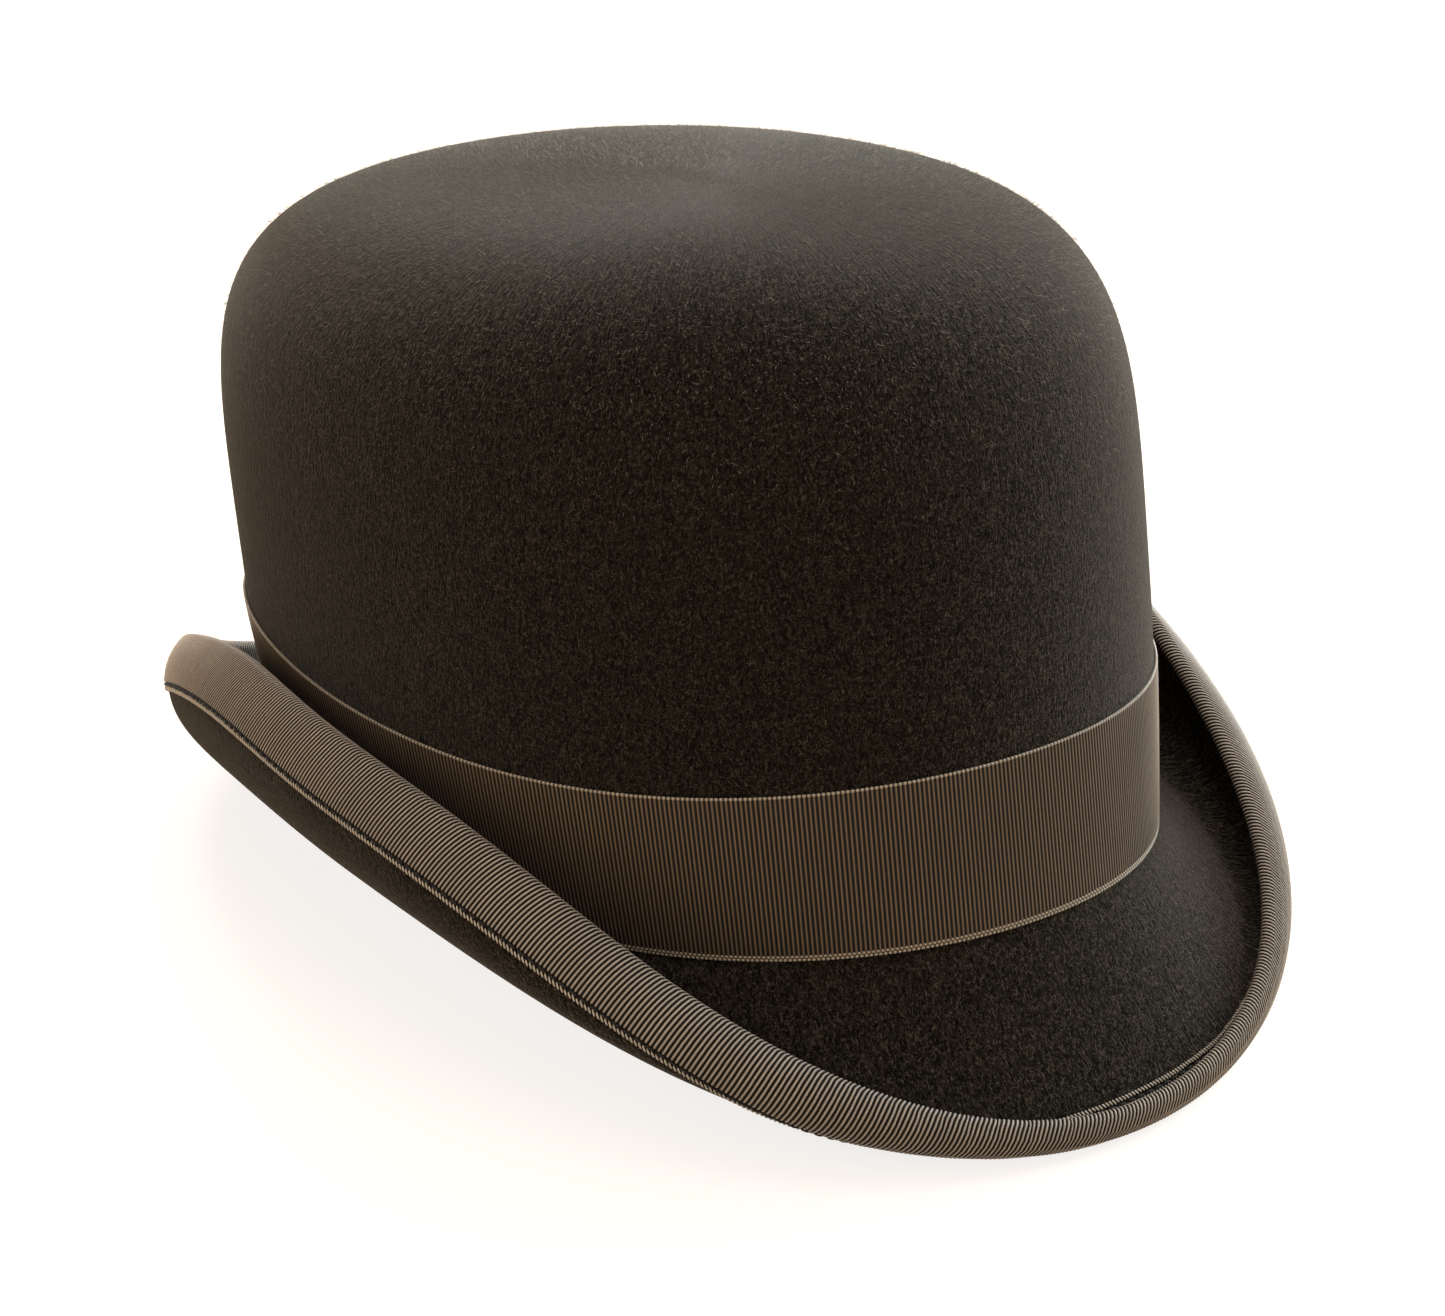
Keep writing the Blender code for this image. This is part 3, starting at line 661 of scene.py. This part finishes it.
def make_finishes():
    return {
        "felt": felt_finish(),
        # The band and the binding are one ribbon in two copies: the binding's much paler ridges and loops are
        # painted light that its upturned roll catches.
        "ribbon": ribbon_finish("band_weave", (0.004, 0.0026, 0.0014), (0.28, 0.184, 0.112),
                                (0.38, 0.32, 0.25), foot=0.55, sheen=0.46, specular=0.20),
        "binding": ribbon_finish("binding_weave", (0.0034, 0.0021, 0.0011), (0.70, 0.580, 0.48),
                                 (0.56, 0.48, 0.39), foot=0.48, sheen=0.03, specular=0.13),
        "hair": thread_finish("felt_hair", (0.15, 0.130, 0.104), (0.44, 0.385, 0.315), 900.0),
        # Near black: partly the stitch thread's own colour, partly a painted shadow of the seam's dip the
        # stitches lie in.
        "thread": thread_finish("dark_thread", (0.009, 0.0065, 0.0045), (0.024, 0.018, 0.013)),
        "leather": leather_finish(),
        "lace": thread_finish("pale_thread", (0.38, 0.30, 0.20), (0.62, 0.53, 0.40)),
        "tape": thread_finish("reed_cloth", (0.010, 0.009, 0.008), (0.035, 0.031, 0.027), 900.0),
        "reed": thread_finish("reed_plastic", (0.62, 0.58, 0.48), (0.74, 0.70, 0.60), 90.0),
        "satin": satin_finish(),
        "piping": thread_finish("piping_cord", (0.055, 0.022, 0.010), (0.13, 0.058, 0.030), 700.0),
        "small_ribbon": thread_finish("black_satin_ribbon", (0.008, 0.007, 0.006),
                                      (0.028, 0.025, 0.022), 1800.0),
    }


# ---------------- felt

def felt_middle(angle):
    """Middle surface of the felt, from near the crown's top to the brim's edge."""
    angle = angle[:, None]
    middle = -0.5 * FELT
    turns = 1.0 - (np.arange(1, DOME_ROWS + 1) / DOME_ROWS) ** 0.8
    dome = crown(angle, dome_height(turns, middle)[None], middle)
    low = around(BREAK_LINE, angle) + BREAK_RADIUS
    share = np.arange(1, WALL_ROWS + 1) / WALL_ROWS
    side = crown(angle, SHOULDER_START + (low - SHOULDER_START) * share, middle)
    width = around(BRIM_WIDTH, angle)
    start = brim_frame(angle, width - BREAK_RADIUS)[0]
    corner = wall(angle, 0.0, middle)
    t = (np.arange(1, BEND_ROWS + 1) / (BEND_ROWS + 1))[:, None]
    bend = side[:, -1:] * (1 - t) ** 2 + corner * 2 * t * (1 - t) + start * t ** 2
    share = np.arange(BRIM_ROWS) / (BRIM_ROWS - 1)
    brim = brim_middle(angle, BREAK_RADIUS + (width - BREAK_RADIUS) * share)
    return np.concatenate((dome, side, bend, brim), axis=1)


def felt_shell(finish):
    angle = even_angles(lambda a: wall(a, 0.0), FELT_COLUMNS)[0]
    middle = felt_middle(angle)
    normal = grid_normals(middle)
    normal = normal * facing(normal[:, DOME_ROWS], wall(angle, 0.0))
    outer, inner = middle + normal * 0.5 * FELT, middle - normal * 0.5 * FELT
    poles = np.array([crown(0.0, CROWN_HEIGHT + out, out) for out in (0.0, -FELT)])
    capped_mesh("felt_shell", outer, inner, poles, finish, ["felt_body"])


def on_dome(angle, share):
    """Points of the dome at shares of the way from its middle to the crown's wall."""
    rise = (1.0 - share ** DOME_ROUNDNESS) ** (1.0 / DOME_FLATNESS)
    return crown(angle, SHOULDER_START + (CROWN_HEIGHT - SHOULDER_START) * rise)


def standing_hairs(finish):
    """Short hairs of the nap that stand out of the felt on the crown's top, fewer towards its shoulder."""
    draw = np.random.default_rng(HAIR_SEED)
    angle = draw.uniform(0.0, tau, HAIR_COUNT)
    share = 0.02 + 0.975 * draw.uniform(0.0, 1.0, HAIR_COUNT) ** HAIR_CROWDING
    step = 0.002
    root = on_dome(angle, share)
    outwards = unit(on_dome(angle, share + step) - on_dome(angle, share - step))
    beside = unit(on_dome(angle + step, share) - on_dome(angle - step, share))
    normal = unit(np.cross(outwards, beside))
    normal = normal * np.sign(normal[:, 2:])
    turn = draw.normal(0.0, HAIR_SPREAD, HAIR_COUNT)[:, None]
    lean = np.radians(draw.uniform(*HAIR_LEANS, HAIR_COUNT))[:, None]
    combed = outwards * np.cos(turn) + beside * np.sin(turn)
    tangent = unit(normal * np.cos(lean) + combed * np.sin(lean))
    length = draw.uniform(*HAIR_LENGTHS, HAIR_COUNT)[:, None] * MM
    side = unit(np.cross(tangent, beside + 0.3 * outwards))
    other = np.cross(tangent, side)
    rings = []
    for along, thick in ((-0.1, 1.0), (0.5, 0.9)):
        centre = root + length * (tangent * along + combed * HAIR_BEND * along * along)
        for corner in (0.0, tau / 3.0, 4.0 * pi / 3.0):
            rings.append(centre + HAIR_RADIUS * thick * (side * cos(corner) + other * sin(corner)))
    rings.append(root + length * (tangent + combed * HAIR_BEND))
    points = np.stack(rings, axis=1)
    quads = [(0, 1, 4, 3), (1, 2, 5, 4), (2, 0, 3, 5)]
    tris = [(0, 2, 1), (3, 4, 6), (4, 5, 6), (5, 3, 6)]
    start = points.shape[1] * np.arange(HAIR_COUNT)[:, None, None]
    faces = [(start + np.array(group)[None]).reshape(-1, len(group[0])) for group in (quads, tris)]
    add_mesh("felt_hairs", points.reshape(-1, 3), faces, finish)


# ---------------- ribbons on the outside

def slanted(path, angle, shift):
    """Angles moved along a path round the hat by lengths that may differ across a ribbon."""
    dense = np.linspace(-1.0, tau + 1.0, 4001)
    length = running(path(dense))
    start = np.interp(angle, dense, length)
    return np.interp(start[:, None] + shift[None], length, dense)


def ribs_round(path):
    """Angles of a ribbon's columns, the place of each along it and its place counted in ribs."""
    angle, _, length = pitched_angles(path, RIB_PITCH, RIB_STEPS)
    number = np.arange(len(angle))
    return angle, number * length / len(number), number / RIB_STEPS


def weave_grid(along, across, top):
    return np.stack(np.broadcast_arrays(along, across, top), -1)


def selvage_beads(name, path, along, phase, finish):
    """Row of small loops along a selvage, one to each rib; their tops have a weave height of 2, which paints
    them with the ribbon's edge colour as a painted highlight, and their sides take the groove's painted
    shade.
    """
    bead = np.abs(np.sin(pi * phase)) ** 0.8
    rings = tube_sections(path, BEAD_RADIUS * (0.5 + 0.5 * bead), BEAD_SIDES, True)
    weave = weave_grid(along, 0.0, 0.2 + 1.8 * bead).repeat(BEAD_SIDES, axis=0)
    closed_tube(name, rings, finish, weave=weave)


def hat_band(finish):
    out = GAP * 0.5 + 0.5 * RIBBON
    angle, along, phase = ribs_round(lambda a: wall(a, BAND_FOOT + 0.5 * BAND_WIDTH, out))
    across = np.concatenate(((0.0, 0.5 * SELVAGE), np.linspace(SELVAGE, BAND_WIDTH - SELVAGE, 9),
                             (BAND_WIDTH - 0.5 * SELVAGE, BAND_WIDTH)))
    points = wall(angle[:, None], BAND_FOOT + across[None], out)
    rib = rib_profile(phase)[:, None]
    fade = smooth(np.minimum(across, BAND_WIDTH - across) / SELVAGE)
    band = ribbon_mesh("ribbon_band", points, RIBBON, finish, ["hat_band"],
                       BAND_RIB_DEPTH * rib * fade, weave_grid(along[:, None], across[None], rib),
                       away=points * (1.0, 1.0, 0.0))
    rows = (("band_selvage_foot", BAND_FOOT + BEAD_SINK, 0.0),
            ("band_selvage_second", BAND_FOOT + SECOND_BEADS, 0.5),
            ("band_selvage_top", BAND_FOOT + BAND_WIDTH - BEAD_SINK, 0.0))
    for name, height, shift in rows:
        selvage_beads(name, wall(angle, height, out + 0.5 * RIBBON - BEAD_SINK), along, phase + shift, finish)


def edge_ribbon(finish):
    """Ribbon folded over the brim's edge, from its outer leaf's selvage to its inner leaf's."""
    off = BINDING_OFF + 0.5 * RIBBON
    angle, along, phase = ribs_round(brim_edge)
    outer = np.linspace(BINDING_OUTER - 2.0 * BINDING_SEAM, 0.0, 8)
    outer = np.concatenate((BINDING_OUTER - NEAR_SELVAGE, outer))
    inner = np.linspace(0.0, BINDING_INNER - 2.0 * BINDING_SEAM, 6)
    inner = np.concatenate((inner, BINDING_INNER - NEAR_SELVAGE[::-1]))
    fold = np.arange(1, 6) * pi / 6
    half_fold = 0.5 * pi * off
    across = np.concatenate((-outer - half_fold, off * (fold - 0.5 * pi), inner + half_fold))
    place = slanted(brim_edge, angle, BINDING_SLANT * across)
    middle, down, ahead = brim_frame(place, np.concatenate((outer, 0.0 * fold, inner))[None])
    turn = np.concatenate((0.0 * outer, fold, 0.0 * inner + pi))[:, None]
    points = middle + (down * np.cos(turn) + ahead * np.sin(turn)) * off
    rib = rib_profile(phase)[:, None]
    ends = np.minimum(across + half_fold + BINDING_OUTER, half_fold + BINDING_INNER - across)
    dip = np.exp(-((ends - BINDING_SEAM) / SEAM_WIDTH) ** 2)
    ribbed = smooth((ends - BINDING_SEAM) / RIB_START)
    height = RIB_DEPTH * rib * ribbed[None] - SEAM_DIP * dip[None]
    # Between each selvage and its seam the weave height stays under the groove colour's foot, so that strip
    # is painted dark: a painted shadow of the seam's dip.
    grid = weave_grid(along[:, None], across[None], rib * (0.25 + 0.75 * ribbed[None]))
    edging = ribbon_mesh("edge_ribbon", points, RIBBON, finish, ["brim_binding"], height, grid,
                         away=points - middle)
    edge_loops("edge_selvage_under", BINDING_OUTER, 1, angle[::RIB_STEPS], finish)
    edge_loops("edge_selvage_upper", BINDING_INNER, -1, angle[::RIB_STEPS], finish)


def edge_loops(name, leaf, side, angle, finish):
    """Slanting loops of weft along a leaf's selvage, one to each rib."""
    share = np.linspace(0.0, 1.0, 6)
    uneven = np.sin(37.0 * np.arange(len(angle)) ** 1.3)
    ends = LOOP_LENGTH * (1.0 + LOOP_UNEVENNESS * uneven)
    inset = leaf - ends[:, None] * share[None] + LOOP_REACH
    across = -side * (leaf + 0.5 * pi * BINDING_OFF)
    place = slanted(brim_edge, angle, BINDING_SLANT * across + side * LOOP_SLANT * RIB_PITCH * (share - 0.5))
    middle, down, _ = brim_frame(place, inset)
    lift = BINDING_OFF + RIBBON + LOOP_REACH * np.sin(pi * share)
    points = middle + down * side * lift[None, :, None]
    # bright: the loops take the ribbon's edge colour, a painted highlight
    short_threads(name, points, LOOP_RADIUS, finish, bright=True)


def brim_edge(angle):
    return brim_middle(angle, around(BRIM_WIDTH, angle))


def edge_stitches(finish):
    """One row of stitches through each leaf of the binding."""
    rise = np.sin(pi * np.arange(STITCH_POINTS) / (STITCH_POINTS - 1)) * THREAD_LIFT
    for name, leaf, side, node in (("edge_stitches_under", BINDING_OUTER, 1, "binding_stitches_outer"),
                                   ("edge_stitches_upper", BINDING_INNER, -1, "binding_stitches_inner")):
        inset = leaf - BINDING_SEAM
        angle, count, _ = pitched_angles(lambda a: brim_frame(a, inset)[0], STITCH_PITCH, STITCH_POINTS)
        middle, down, _ = brim_frame(angle, inset)
        off = BINDING_OFF + RIBBON + THREAD_LIFT + np.tile(rise, count)
        points = (middle + down * side * off[:, None]).reshape(-1, STITCH_POINTS, 3)
        short_threads(name, points, THREAD_RADIUS, finish, [node])


# ---------------- bows

def bow_layers(along, half_length, ribbon, fullness):
    under = GAP + ribbon + GAP + 0.5 * ribbon
    return under, under + ribbon + GAP + (fullness - ribbon - GAP) * smooth(np.abs(along) / half_length)


def bow_outline(half_length, ribbon, fullness, steps):
    """Closed line of a bow's ribbon seen from its edge: places along it and distances off its face."""
    along = np.linspace(-half_length, half_length, steps)
    under, over = bow_layers(along, half_length, ribbon, fullness)
    radius = 0.5 * (over[-1] - under)
    turn = np.arange(1, 8) * pi / 8
    fold_along = half_length + radius * np.sin(turn)
    fold_off = under + radius + radius * np.cos(turn)
    places = np.concatenate((along, fold_along, along[::-1], -fold_along[::-1]))
    offs = np.concatenate((over, fold_off, np.full(steps, under), fold_off[::-1]))
    return places, offs


def bow(names, place, size, half_width, finish, replaced, ribbed):
    """Two flat loops and the short ribbon round their middle. place(along, up, off) gives points."""
    half_length, half_height, waist, ribbon, fullness = size

    def tall(along):
        return waist + (half_height - waist) * smooth(2.0 * np.abs(along) / half_length)

    steps = int(2 * half_length / RIB_PITCH * RIB_STEPS) if ribbed else 60
    along, off = bow_outline(half_length, ribbon, fullness, steps)
    share = np.linspace(-1.0, 1.0, BOW_COLUMNS)
    up = tall(along)[:, None] * share
    crease = 0.35 * ribbon * np.cos(share * pi * 2.5) * (1.0 - smooth(np.abs(along)[:, None] / half_length))
    points = place(along[:, None], up, off[:, None] + crease * (off > off.min() * 1.01)[:, None])
    middle = points[:, BOW_COLUMNS // 2]
    length = running(np.concatenate((middle, middle[:1])))
    phase = length[:-1] / length[-1] * round(float(length[-1]) / RIB_PITCH)
    rib = rib_profile(phase)[:, None] if ribbed else np.zeros((len(along), 1))
    fade = smooth((1.0 - np.abs(share)) * half_height / SELVAGE)[None]
    loops = ribbon_mesh(names[0], points, ribbon, finish, [replaced[0]], RIB_DEPTH * rib * fade,
                        weave_grid(length[:-1, None], up, rib), away=points - points.mean(axis=0))

    across = np.linspace(-half_width, half_width, 61 if ribbed else 13)
    over = bow_layers(across, half_length, ribbon, fullness)[1] + ribbon + GAP
    under = GAP + 0.5 * ribbon
    turn = np.linspace(0.0, tau, KNOT_ROWS, endpoint=False)[:, None]
    up = (tall(across) + GAP + ribbon)[None] * np.clip(1.12 * np.sin(turn), -1.0, 1.0)
    lift = 0.5 * (over + under) + 0.5 * (over - under) * np.clip(2.6 * np.cos(turn), -1.0, 1.0)
    points = place(across[None], up, lift)
    girth = running(points[:, len(across) // 2])
    pleat = rib_profile(across / RIB_PITCH + 0.5)[None] if ribbed else np.zeros((1, len(across)))
    wrap = ribbon_mesh(names[1], points, ribbon, finish, [replaced[1]], RIB_DEPTH * pleat,
                       weave_grid(across[None], girth[:, None], pleat), away=points - points.mean(axis=0))


def side_bow(finish):
    def place(along, up, off):
        return wall(1.5 * pi + along / HALF_LENGTH, BAND_FOOT + 0.5 * BAND_WIDTH + up, GAP + RIBBON + off)
    size = (BOW_HALF_LENGTH, BOW_HALF_HEIGHT, BOW_WAIST, RIBBON, BOW_FULLNESS)
    bow(("bow_loops", "bow_wrap"), place, size, KNOT_HALF_WIDTH, finish,
        ("bow_ribbon", "bow_knot"), True)


def back_bow(finish):
    def place(along, up, off):
        return wall(pi + along / HALF_WIDTH, BACK_BOW_HEIGHT + up, LEATHER_FACE - off)
    size = (BACK_BOW_HALF_LENGTH, BACK_BOW_HALF_HEIGHT, BACK_BOW_WAIST, BACK_RIBBON, BACK_BOW_FULLNESS)
    bow(("leather_bow_loops", "leather_bow_wrap"), place, size, BACK_KNOT_HALF_WIDTH, finish,
        ("back_bow_ribbon", "back_bow_knot"), False)


# ---------------- inside the hat

def head_leather(finish):
    """Leather band, open at the back where its ends are laced, with a thin rolled upper edge."""
    gap = LEATHER_GAP / HALF_WIDTH
    angle, length = even_angles(lambda a: wall(a, LEATHER_FOOT, LEATHER_OUT), INSIDE_COLUMNS,
                                pi + gap, 3.0 * pi - gap)
    rolled = SWEATBAND_HEIGHT - np.array((1.2, 0.5, 0.0)) * MM
    rise = np.concatenate((np.linspace(LEATHER_FOOT, SWEATBAND_HEIGHT - 2.0 * MM, 30), rolled))
    lean = -LEATHER_LEAN * smooth((rise - SWEATBAND_HEIGHT + LEANING) / LEANING)
    angle = angle[:, None]
    waves = np.sin(angle * 23.0 + 2.0 * np.sin(angle * 5.0))
    ripple = RIPPLE * waves * smooth(rise / (50.0 * MM))
    points = wall(angle, rise[None], LEATHER_OUT + lean[None] + ripple - RIPPLE)
    made = ribbon_mesh("head_leather", points, LEATHER, finish, ["sweatband"], wrap=False)


def leather_stitches(finish):
    out = LEATHER_FACE - LEATHER_THREAD
    height = LEATHER_FOOT + SWEATBAND_SEAM
    per = LEATHER_STITCH_POINTS
    angle, count, _ = pitched_angles(lambda a: wall(a, height, out), LEATHER_STITCH, per)
    dip = np.tile(np.abs(np.linspace(-1.0, 1.0, per)) ** 3, count) * LEATHER_STITCH_DIP
    points = wall(angle, height, out + dip).reshape(-1, per, 3)
    short_threads("leather_stitches", points, LEATHER_THREAD, finish, ["sweatband_stitches"])


def reed_cover(finish):
    """Cloth tape folded round the reed; both its flanges stand between felt and leather."""
    wrap = REED_RADIUS + GAP + 0.5 * REED_TAPE
    reed = TAPE_OUT - 0.5 * REED_TAPE - GAP - REED_RADIUS
    back = acos((FLANGE_OUT - reed) / wrap)
    angle, length = even_angles(lambda a: wall(a, REED_HEIGHT, reed), INSIDE_COLUMNS)
    centre = wall(angle, REED_HEIGHT, reed)[:, None]
    turn = np.linspace(0.0, tau - back, 16)[:-1, None]
    round_reed = centre + (outward(angle)[:, None] * np.cos(turn) - UP * np.sin(turn)) * wrap
    strip = wall(angle[:, None], np.array((REED_TAPE_HEIGHT, 5.0 * MM))[None], TAPE_OUT)
    foot = REED_HEIGHT + wrap * sin(back)
    stand = wall(angle[:, None], np.array((foot, 6.0 * MM, REED_TAPE_HEIGHT))[None], FLANGE_OUT)
    points = np.concatenate((strip, round_reed, stand), axis=1)
    made = ribbon_mesh("reed_cover", points, REED_TAPE, finish, ["reed_tape"])


def leather_lacing(finish):
    """Zigzag thread across the leather's ends."""
    out = LEATHER_FACE - LACE_OFF
    foot = BACK_BOW_HEIGHT + BACK_BOW_HALF_HEIGHT + LACE_PITCH
    head = SWEATBAND_HEIGHT - 0.5 * LACE_PITCH
    count = max(2, int((head - foot) / (0.5 * LACE_PITCH)))
    paths = []
    for k in range(count):
        side = LACE_HALF_WIDTH if k % 2 else -LACE_HALF_WIDTH
        share = np.linspace(0.0, 1.0, 9)
        place = pi + (side - 2.0 * side * share) / HALF_WIDTH
        height = foot + (head - foot) * (k + share) / count
        paths.append(wall(place, height, out + LACE_DIP * (2.0 * share - 1.0) ** 4))
    short_threads("leather_lacing", paths, LACE_RADIUS, finish, ["back_lacing"], sides=8)


def lining_point(angle, turn, out):
    return crown(angle, dome_height(turn, out), out)


def satin_side(finish):
    """Satin band inside the crown's wall, eased into its piped seam in soft folds."""
    angle, length = even_angles(lambda a: crown(a, SHOULDER_START, LINING_OUT), SATIN_COLUMNS)
    angle = angle[:, None]
    foot = around(BREAK_LINE, angle) + LINING_FOOT
    low = foot + (SHOULDER_START - foot) * np.linspace(0.0, 1.0, SATIN_LOW)[None]
    turns = np.linspace(0.0, SEAM_TURN, SATIN_HIGH + 1)[1:]
    high = np.broadcast_to(dome_height(turns, LINING_OUT), (len(angle), SATIN_HIGH))
    height = np.concatenate((low, high), axis=1)
    up = np.concatenate((np.zeros(SATIN_LOW), np.linspace(0.0, 1.0, SATIN_HIGH)))[None]
    folds = np.sin(angle * 61.0 + 2.2 * np.sin(angle * 7.0) + 1.3 * np.sin(angle * 17.0))
    wave = (0.5 + 0.5 * folds) * (0.18 + 0.5 * smooth(up * 1.1) * (1.0 - smooth((up - 0.9) / 0.1))) * MM
    points = crown(angle, height, LINING_OUT - wave)
    made = ribbon_mesh("satin_side", points, SATIN, finish, ["lining_side"])


def satin_piping(finish):
    """Twisted cord in the seam between the lining's side and its tip."""
    out = LINING_OUT - 0.5 * SATIN - PIPING_DROP - PIPING_RADIUS * 0.6
    angle = pitched_angles(lambda a: lining_point(a, SEAM_TURN, out), PIPING_TWIST, TWIST_STEPS)[0]
    path = lining_point(angle, SEAM_TURN, out)
    rings = tube_sections(path, PIPING_RADIUS * (1.0 - STRAND), PIPING_SIDES, True)
    centre = path[:, None]
    turn = tau * np.arange(PIPING_SIDES)[None] / PIPING_SIDES
    strand = 1.0 + STRAND * np.cos(2.0 * turn + tau * np.arange(len(angle))[:, None] / TWIST_STEPS)
    rings = centre + (rings - centre) * strand[..., None]
    closed_tube("satin_piping", rings, finish, ["lining_piping"])


def satin_tip(finish):
    """Oval of satin under the crown's top."""
    angle = even_angles(lambda a: lining_point(a, SEAM_TURN, LINING_OUT), TIP_COLUMNS)[0][:, None]
    share = np.linspace(0.03, 1.0, 40)[None]
    edge = lining_point(angle, SEAM_TURN + TIP_OVERLAP, LINING_OUT - SATIN)
    centre = crown(0.0, CROWN_HEIGHT + LINING_OUT, LINING_OUT)
    flat = centre + (edge - centre) * (share[..., None] * (1.0, 1.0, 0.0) + (share ** 4)[..., None] * UP)
    sag = TIP_SAG * (1.0 - share ** 2)
    pucker = TIP_PUCKER * np.sin(angle * 47.0 + np.sin(angle * 6.0)) * smooth((share - 0.75) / 0.25)
    flat = flat - UP * (sag + pucker + TIP_PUCKER)[..., None]
    half = UP * 0.5 * SATIN
    middle = flat.mean(axis=0)[0]
    made = capped_mesh("satin_tip", flat + half, flat - half, (middle + half, middle - half), finish,
                       ["lining_tip"])


# ---------------- studio

# Azimuths and elevations are in degrees, and azimuth 0 looks at the front.
CAMERA_AZIMUTH = -38.17
CAMERA_ELEVATION = 20.70
CAMERA_ROLL = radians(-2.09)
CAMERA_DISTANCE = 716.0 * MM
CAMERA_TARGET = np.array((0.4, 0.7, 26.1)) * MM
CAMERA_LENS = 79.52
CAMERA_SENSOR = 36.0

# Square lamps: azimuth, elevation, distance and size in metres, power in watts, colour
LAMP_TARGET = Vector((0.0, 0.0, 0.08))
LAMPS = {
    "overhead": (10.0, 80.0, 1.3, 1.1, 7.0, (1.0, 0.97, 0.93)),
    "front": (-15.0, 25.0, 1.4, 0.9, 4.0, (1.0, 0.96, 0.92)),
    "behind": (150.0, 45.0, 1.4, 0.9, 25.0, (1.0, 0.97, 0.94)),
    "left": (-105.0, 20.0, 1.4, 0.9, 5.2, (1.0, 0.88, 0.66)),
    "right": (75.0, 25.0, 1.4, 0.9, 18.5, (0.70, 0.90, 1.0)),
    "far_right": (105.0, 12.0, 1.4, 0.9, 16.0, (0.78, 0.92, 1.0)),
}
AMBIENT = (1.0, 0.84, 0.66, 1.0)
AMBIENT_LEVEL = 0.30
WHITE = (1.0, 1.0, 1.0, 1.0)
FLOOR_SIZE = 8.0
FLOOR_DROP = 0.2 * MM
FLOOR_GLOW = 0.8


def towards(azimuth, elevation):
    """Unit vector from the hat towards a camera or a lamp."""
    azimuth, elevation = radians(azimuth), radians(elevation)
    return sin(azimuth) * cos(elevation), -cos(azimuth) * cos(elevation), sin(elevation)


def camera():
    """Camera before the wearer's right, set in the crown's frame and stood with it."""
    back = np.array(towards(CAMERA_AZIMUTH, CAMERA_ELEVATION))
    right = unit(np.cross(-back, UP))
    up = np.cross(right, -back)
    across = right * cos(CAMERA_ROLL) + up * sin(CAMERA_ROLL)
    above = -right * sin(CAMERA_ROLL) + up * cos(CAMERA_ROLL)
    turn = np.array(Matrix.Rotation(STAND_TIP, 3, "X"))
    axes = [turn @ axis for axis in (across, above, back)]
    place = to_row(CAMERA_TARGET + back * CAMERA_DISTANCE)
    data = bpy.data.cameras.new("camera")
    data.lens = CAMERA_LENS
    data.sensor_width = CAMERA_SENSOR
    data.clip_start = 10.0 * MM
    made = linked("camera", data)
    made.matrix_world = Matrix([*np.stack((*axes, place), axis=1).tolist(), (0.0, 0.0, 0.0, 1.0)])
    bpy.context.scene.camera = made


def softbox(name, azimuth, elevation, distance, size, power, colour):
    back = Vector(towards(azimuth, elevation))
    data = bpy.data.lights.new(name, "AREA")
    data.shape = "SQUARE"
    data.size = size
    data.energy = power
    data.color = colour
    made = linked(name, data)
    made.location = LAMP_TARGET + back * distance
    made.rotation_euler = back.to_track_quat("Z", "Y").to_euler()


def studio():
    n = Nodes("studio", "worlds")
    ambient = n.tree.nodes["Background"]
    ambient.inputs["Color"].default_value = AMBIENT
    ambient.inputs["Strength"].default_value = AMBIENT_LEVEL
    white = n.add("Background", WHITE, 1.0)
    both = n.add("MixShader", n.seen(), ambient.outputs[0], white.outputs[0])
    n.feed(n.tree.nodes["World Output"].inputs["Surface"], both.outputs[0])
    bpy.context.scene.world = n.owner

    bpy.ops.mesh.primitive_plane_add(size=FLOOR_SIZE, location=(0.0, 0.0, -FLOOR_DROP))
    floor = bpy.context.object
    floor.name = "floor"
    n = Nodes("pale_floor")
    colour = n.mix(n.noise(3.0), (0.37, 0.275, 0.185), (0.39, 0.295, 0.205))
    glow = n.math("MULTIPLY", n.seen(), FLOOR_GLOW)
    floor.data.materials.append(n.finish(colour, 0.9, Emission_Color=WHITE, Emission_Strength=glow))

    for name, lamp in LAMPS.items():
        softbox(name, *lamp)


# ---------------- the whole scene

PIECES = (
    (felt_shell, "felt"), (standing_hairs, "hair"), (hat_band, "ribbon"), (edge_ribbon, "binding"),
    (edge_stitches, "thread"), (side_bow, "ribbon"), (head_leather, "leather"), (leather_stitches, "lace"),
    (reed_cover, "tape"), (leather_lacing, "lace"), (back_bow, "small_ribbon"), (satin_side, "satin"),
    (satin_piping, "piping"), (satin_tip, "satin"),
)


def build():
    finishes = make_finishes()
    for make, finish in PIECES:
        make(finishes[finish])
    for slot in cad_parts["sweatband_reed"].material_slots:
        slot.material = finishes["reed"]
    camera()
    studio()


build()
bpy.context.scene.view_settings.view_transform = "Standard"
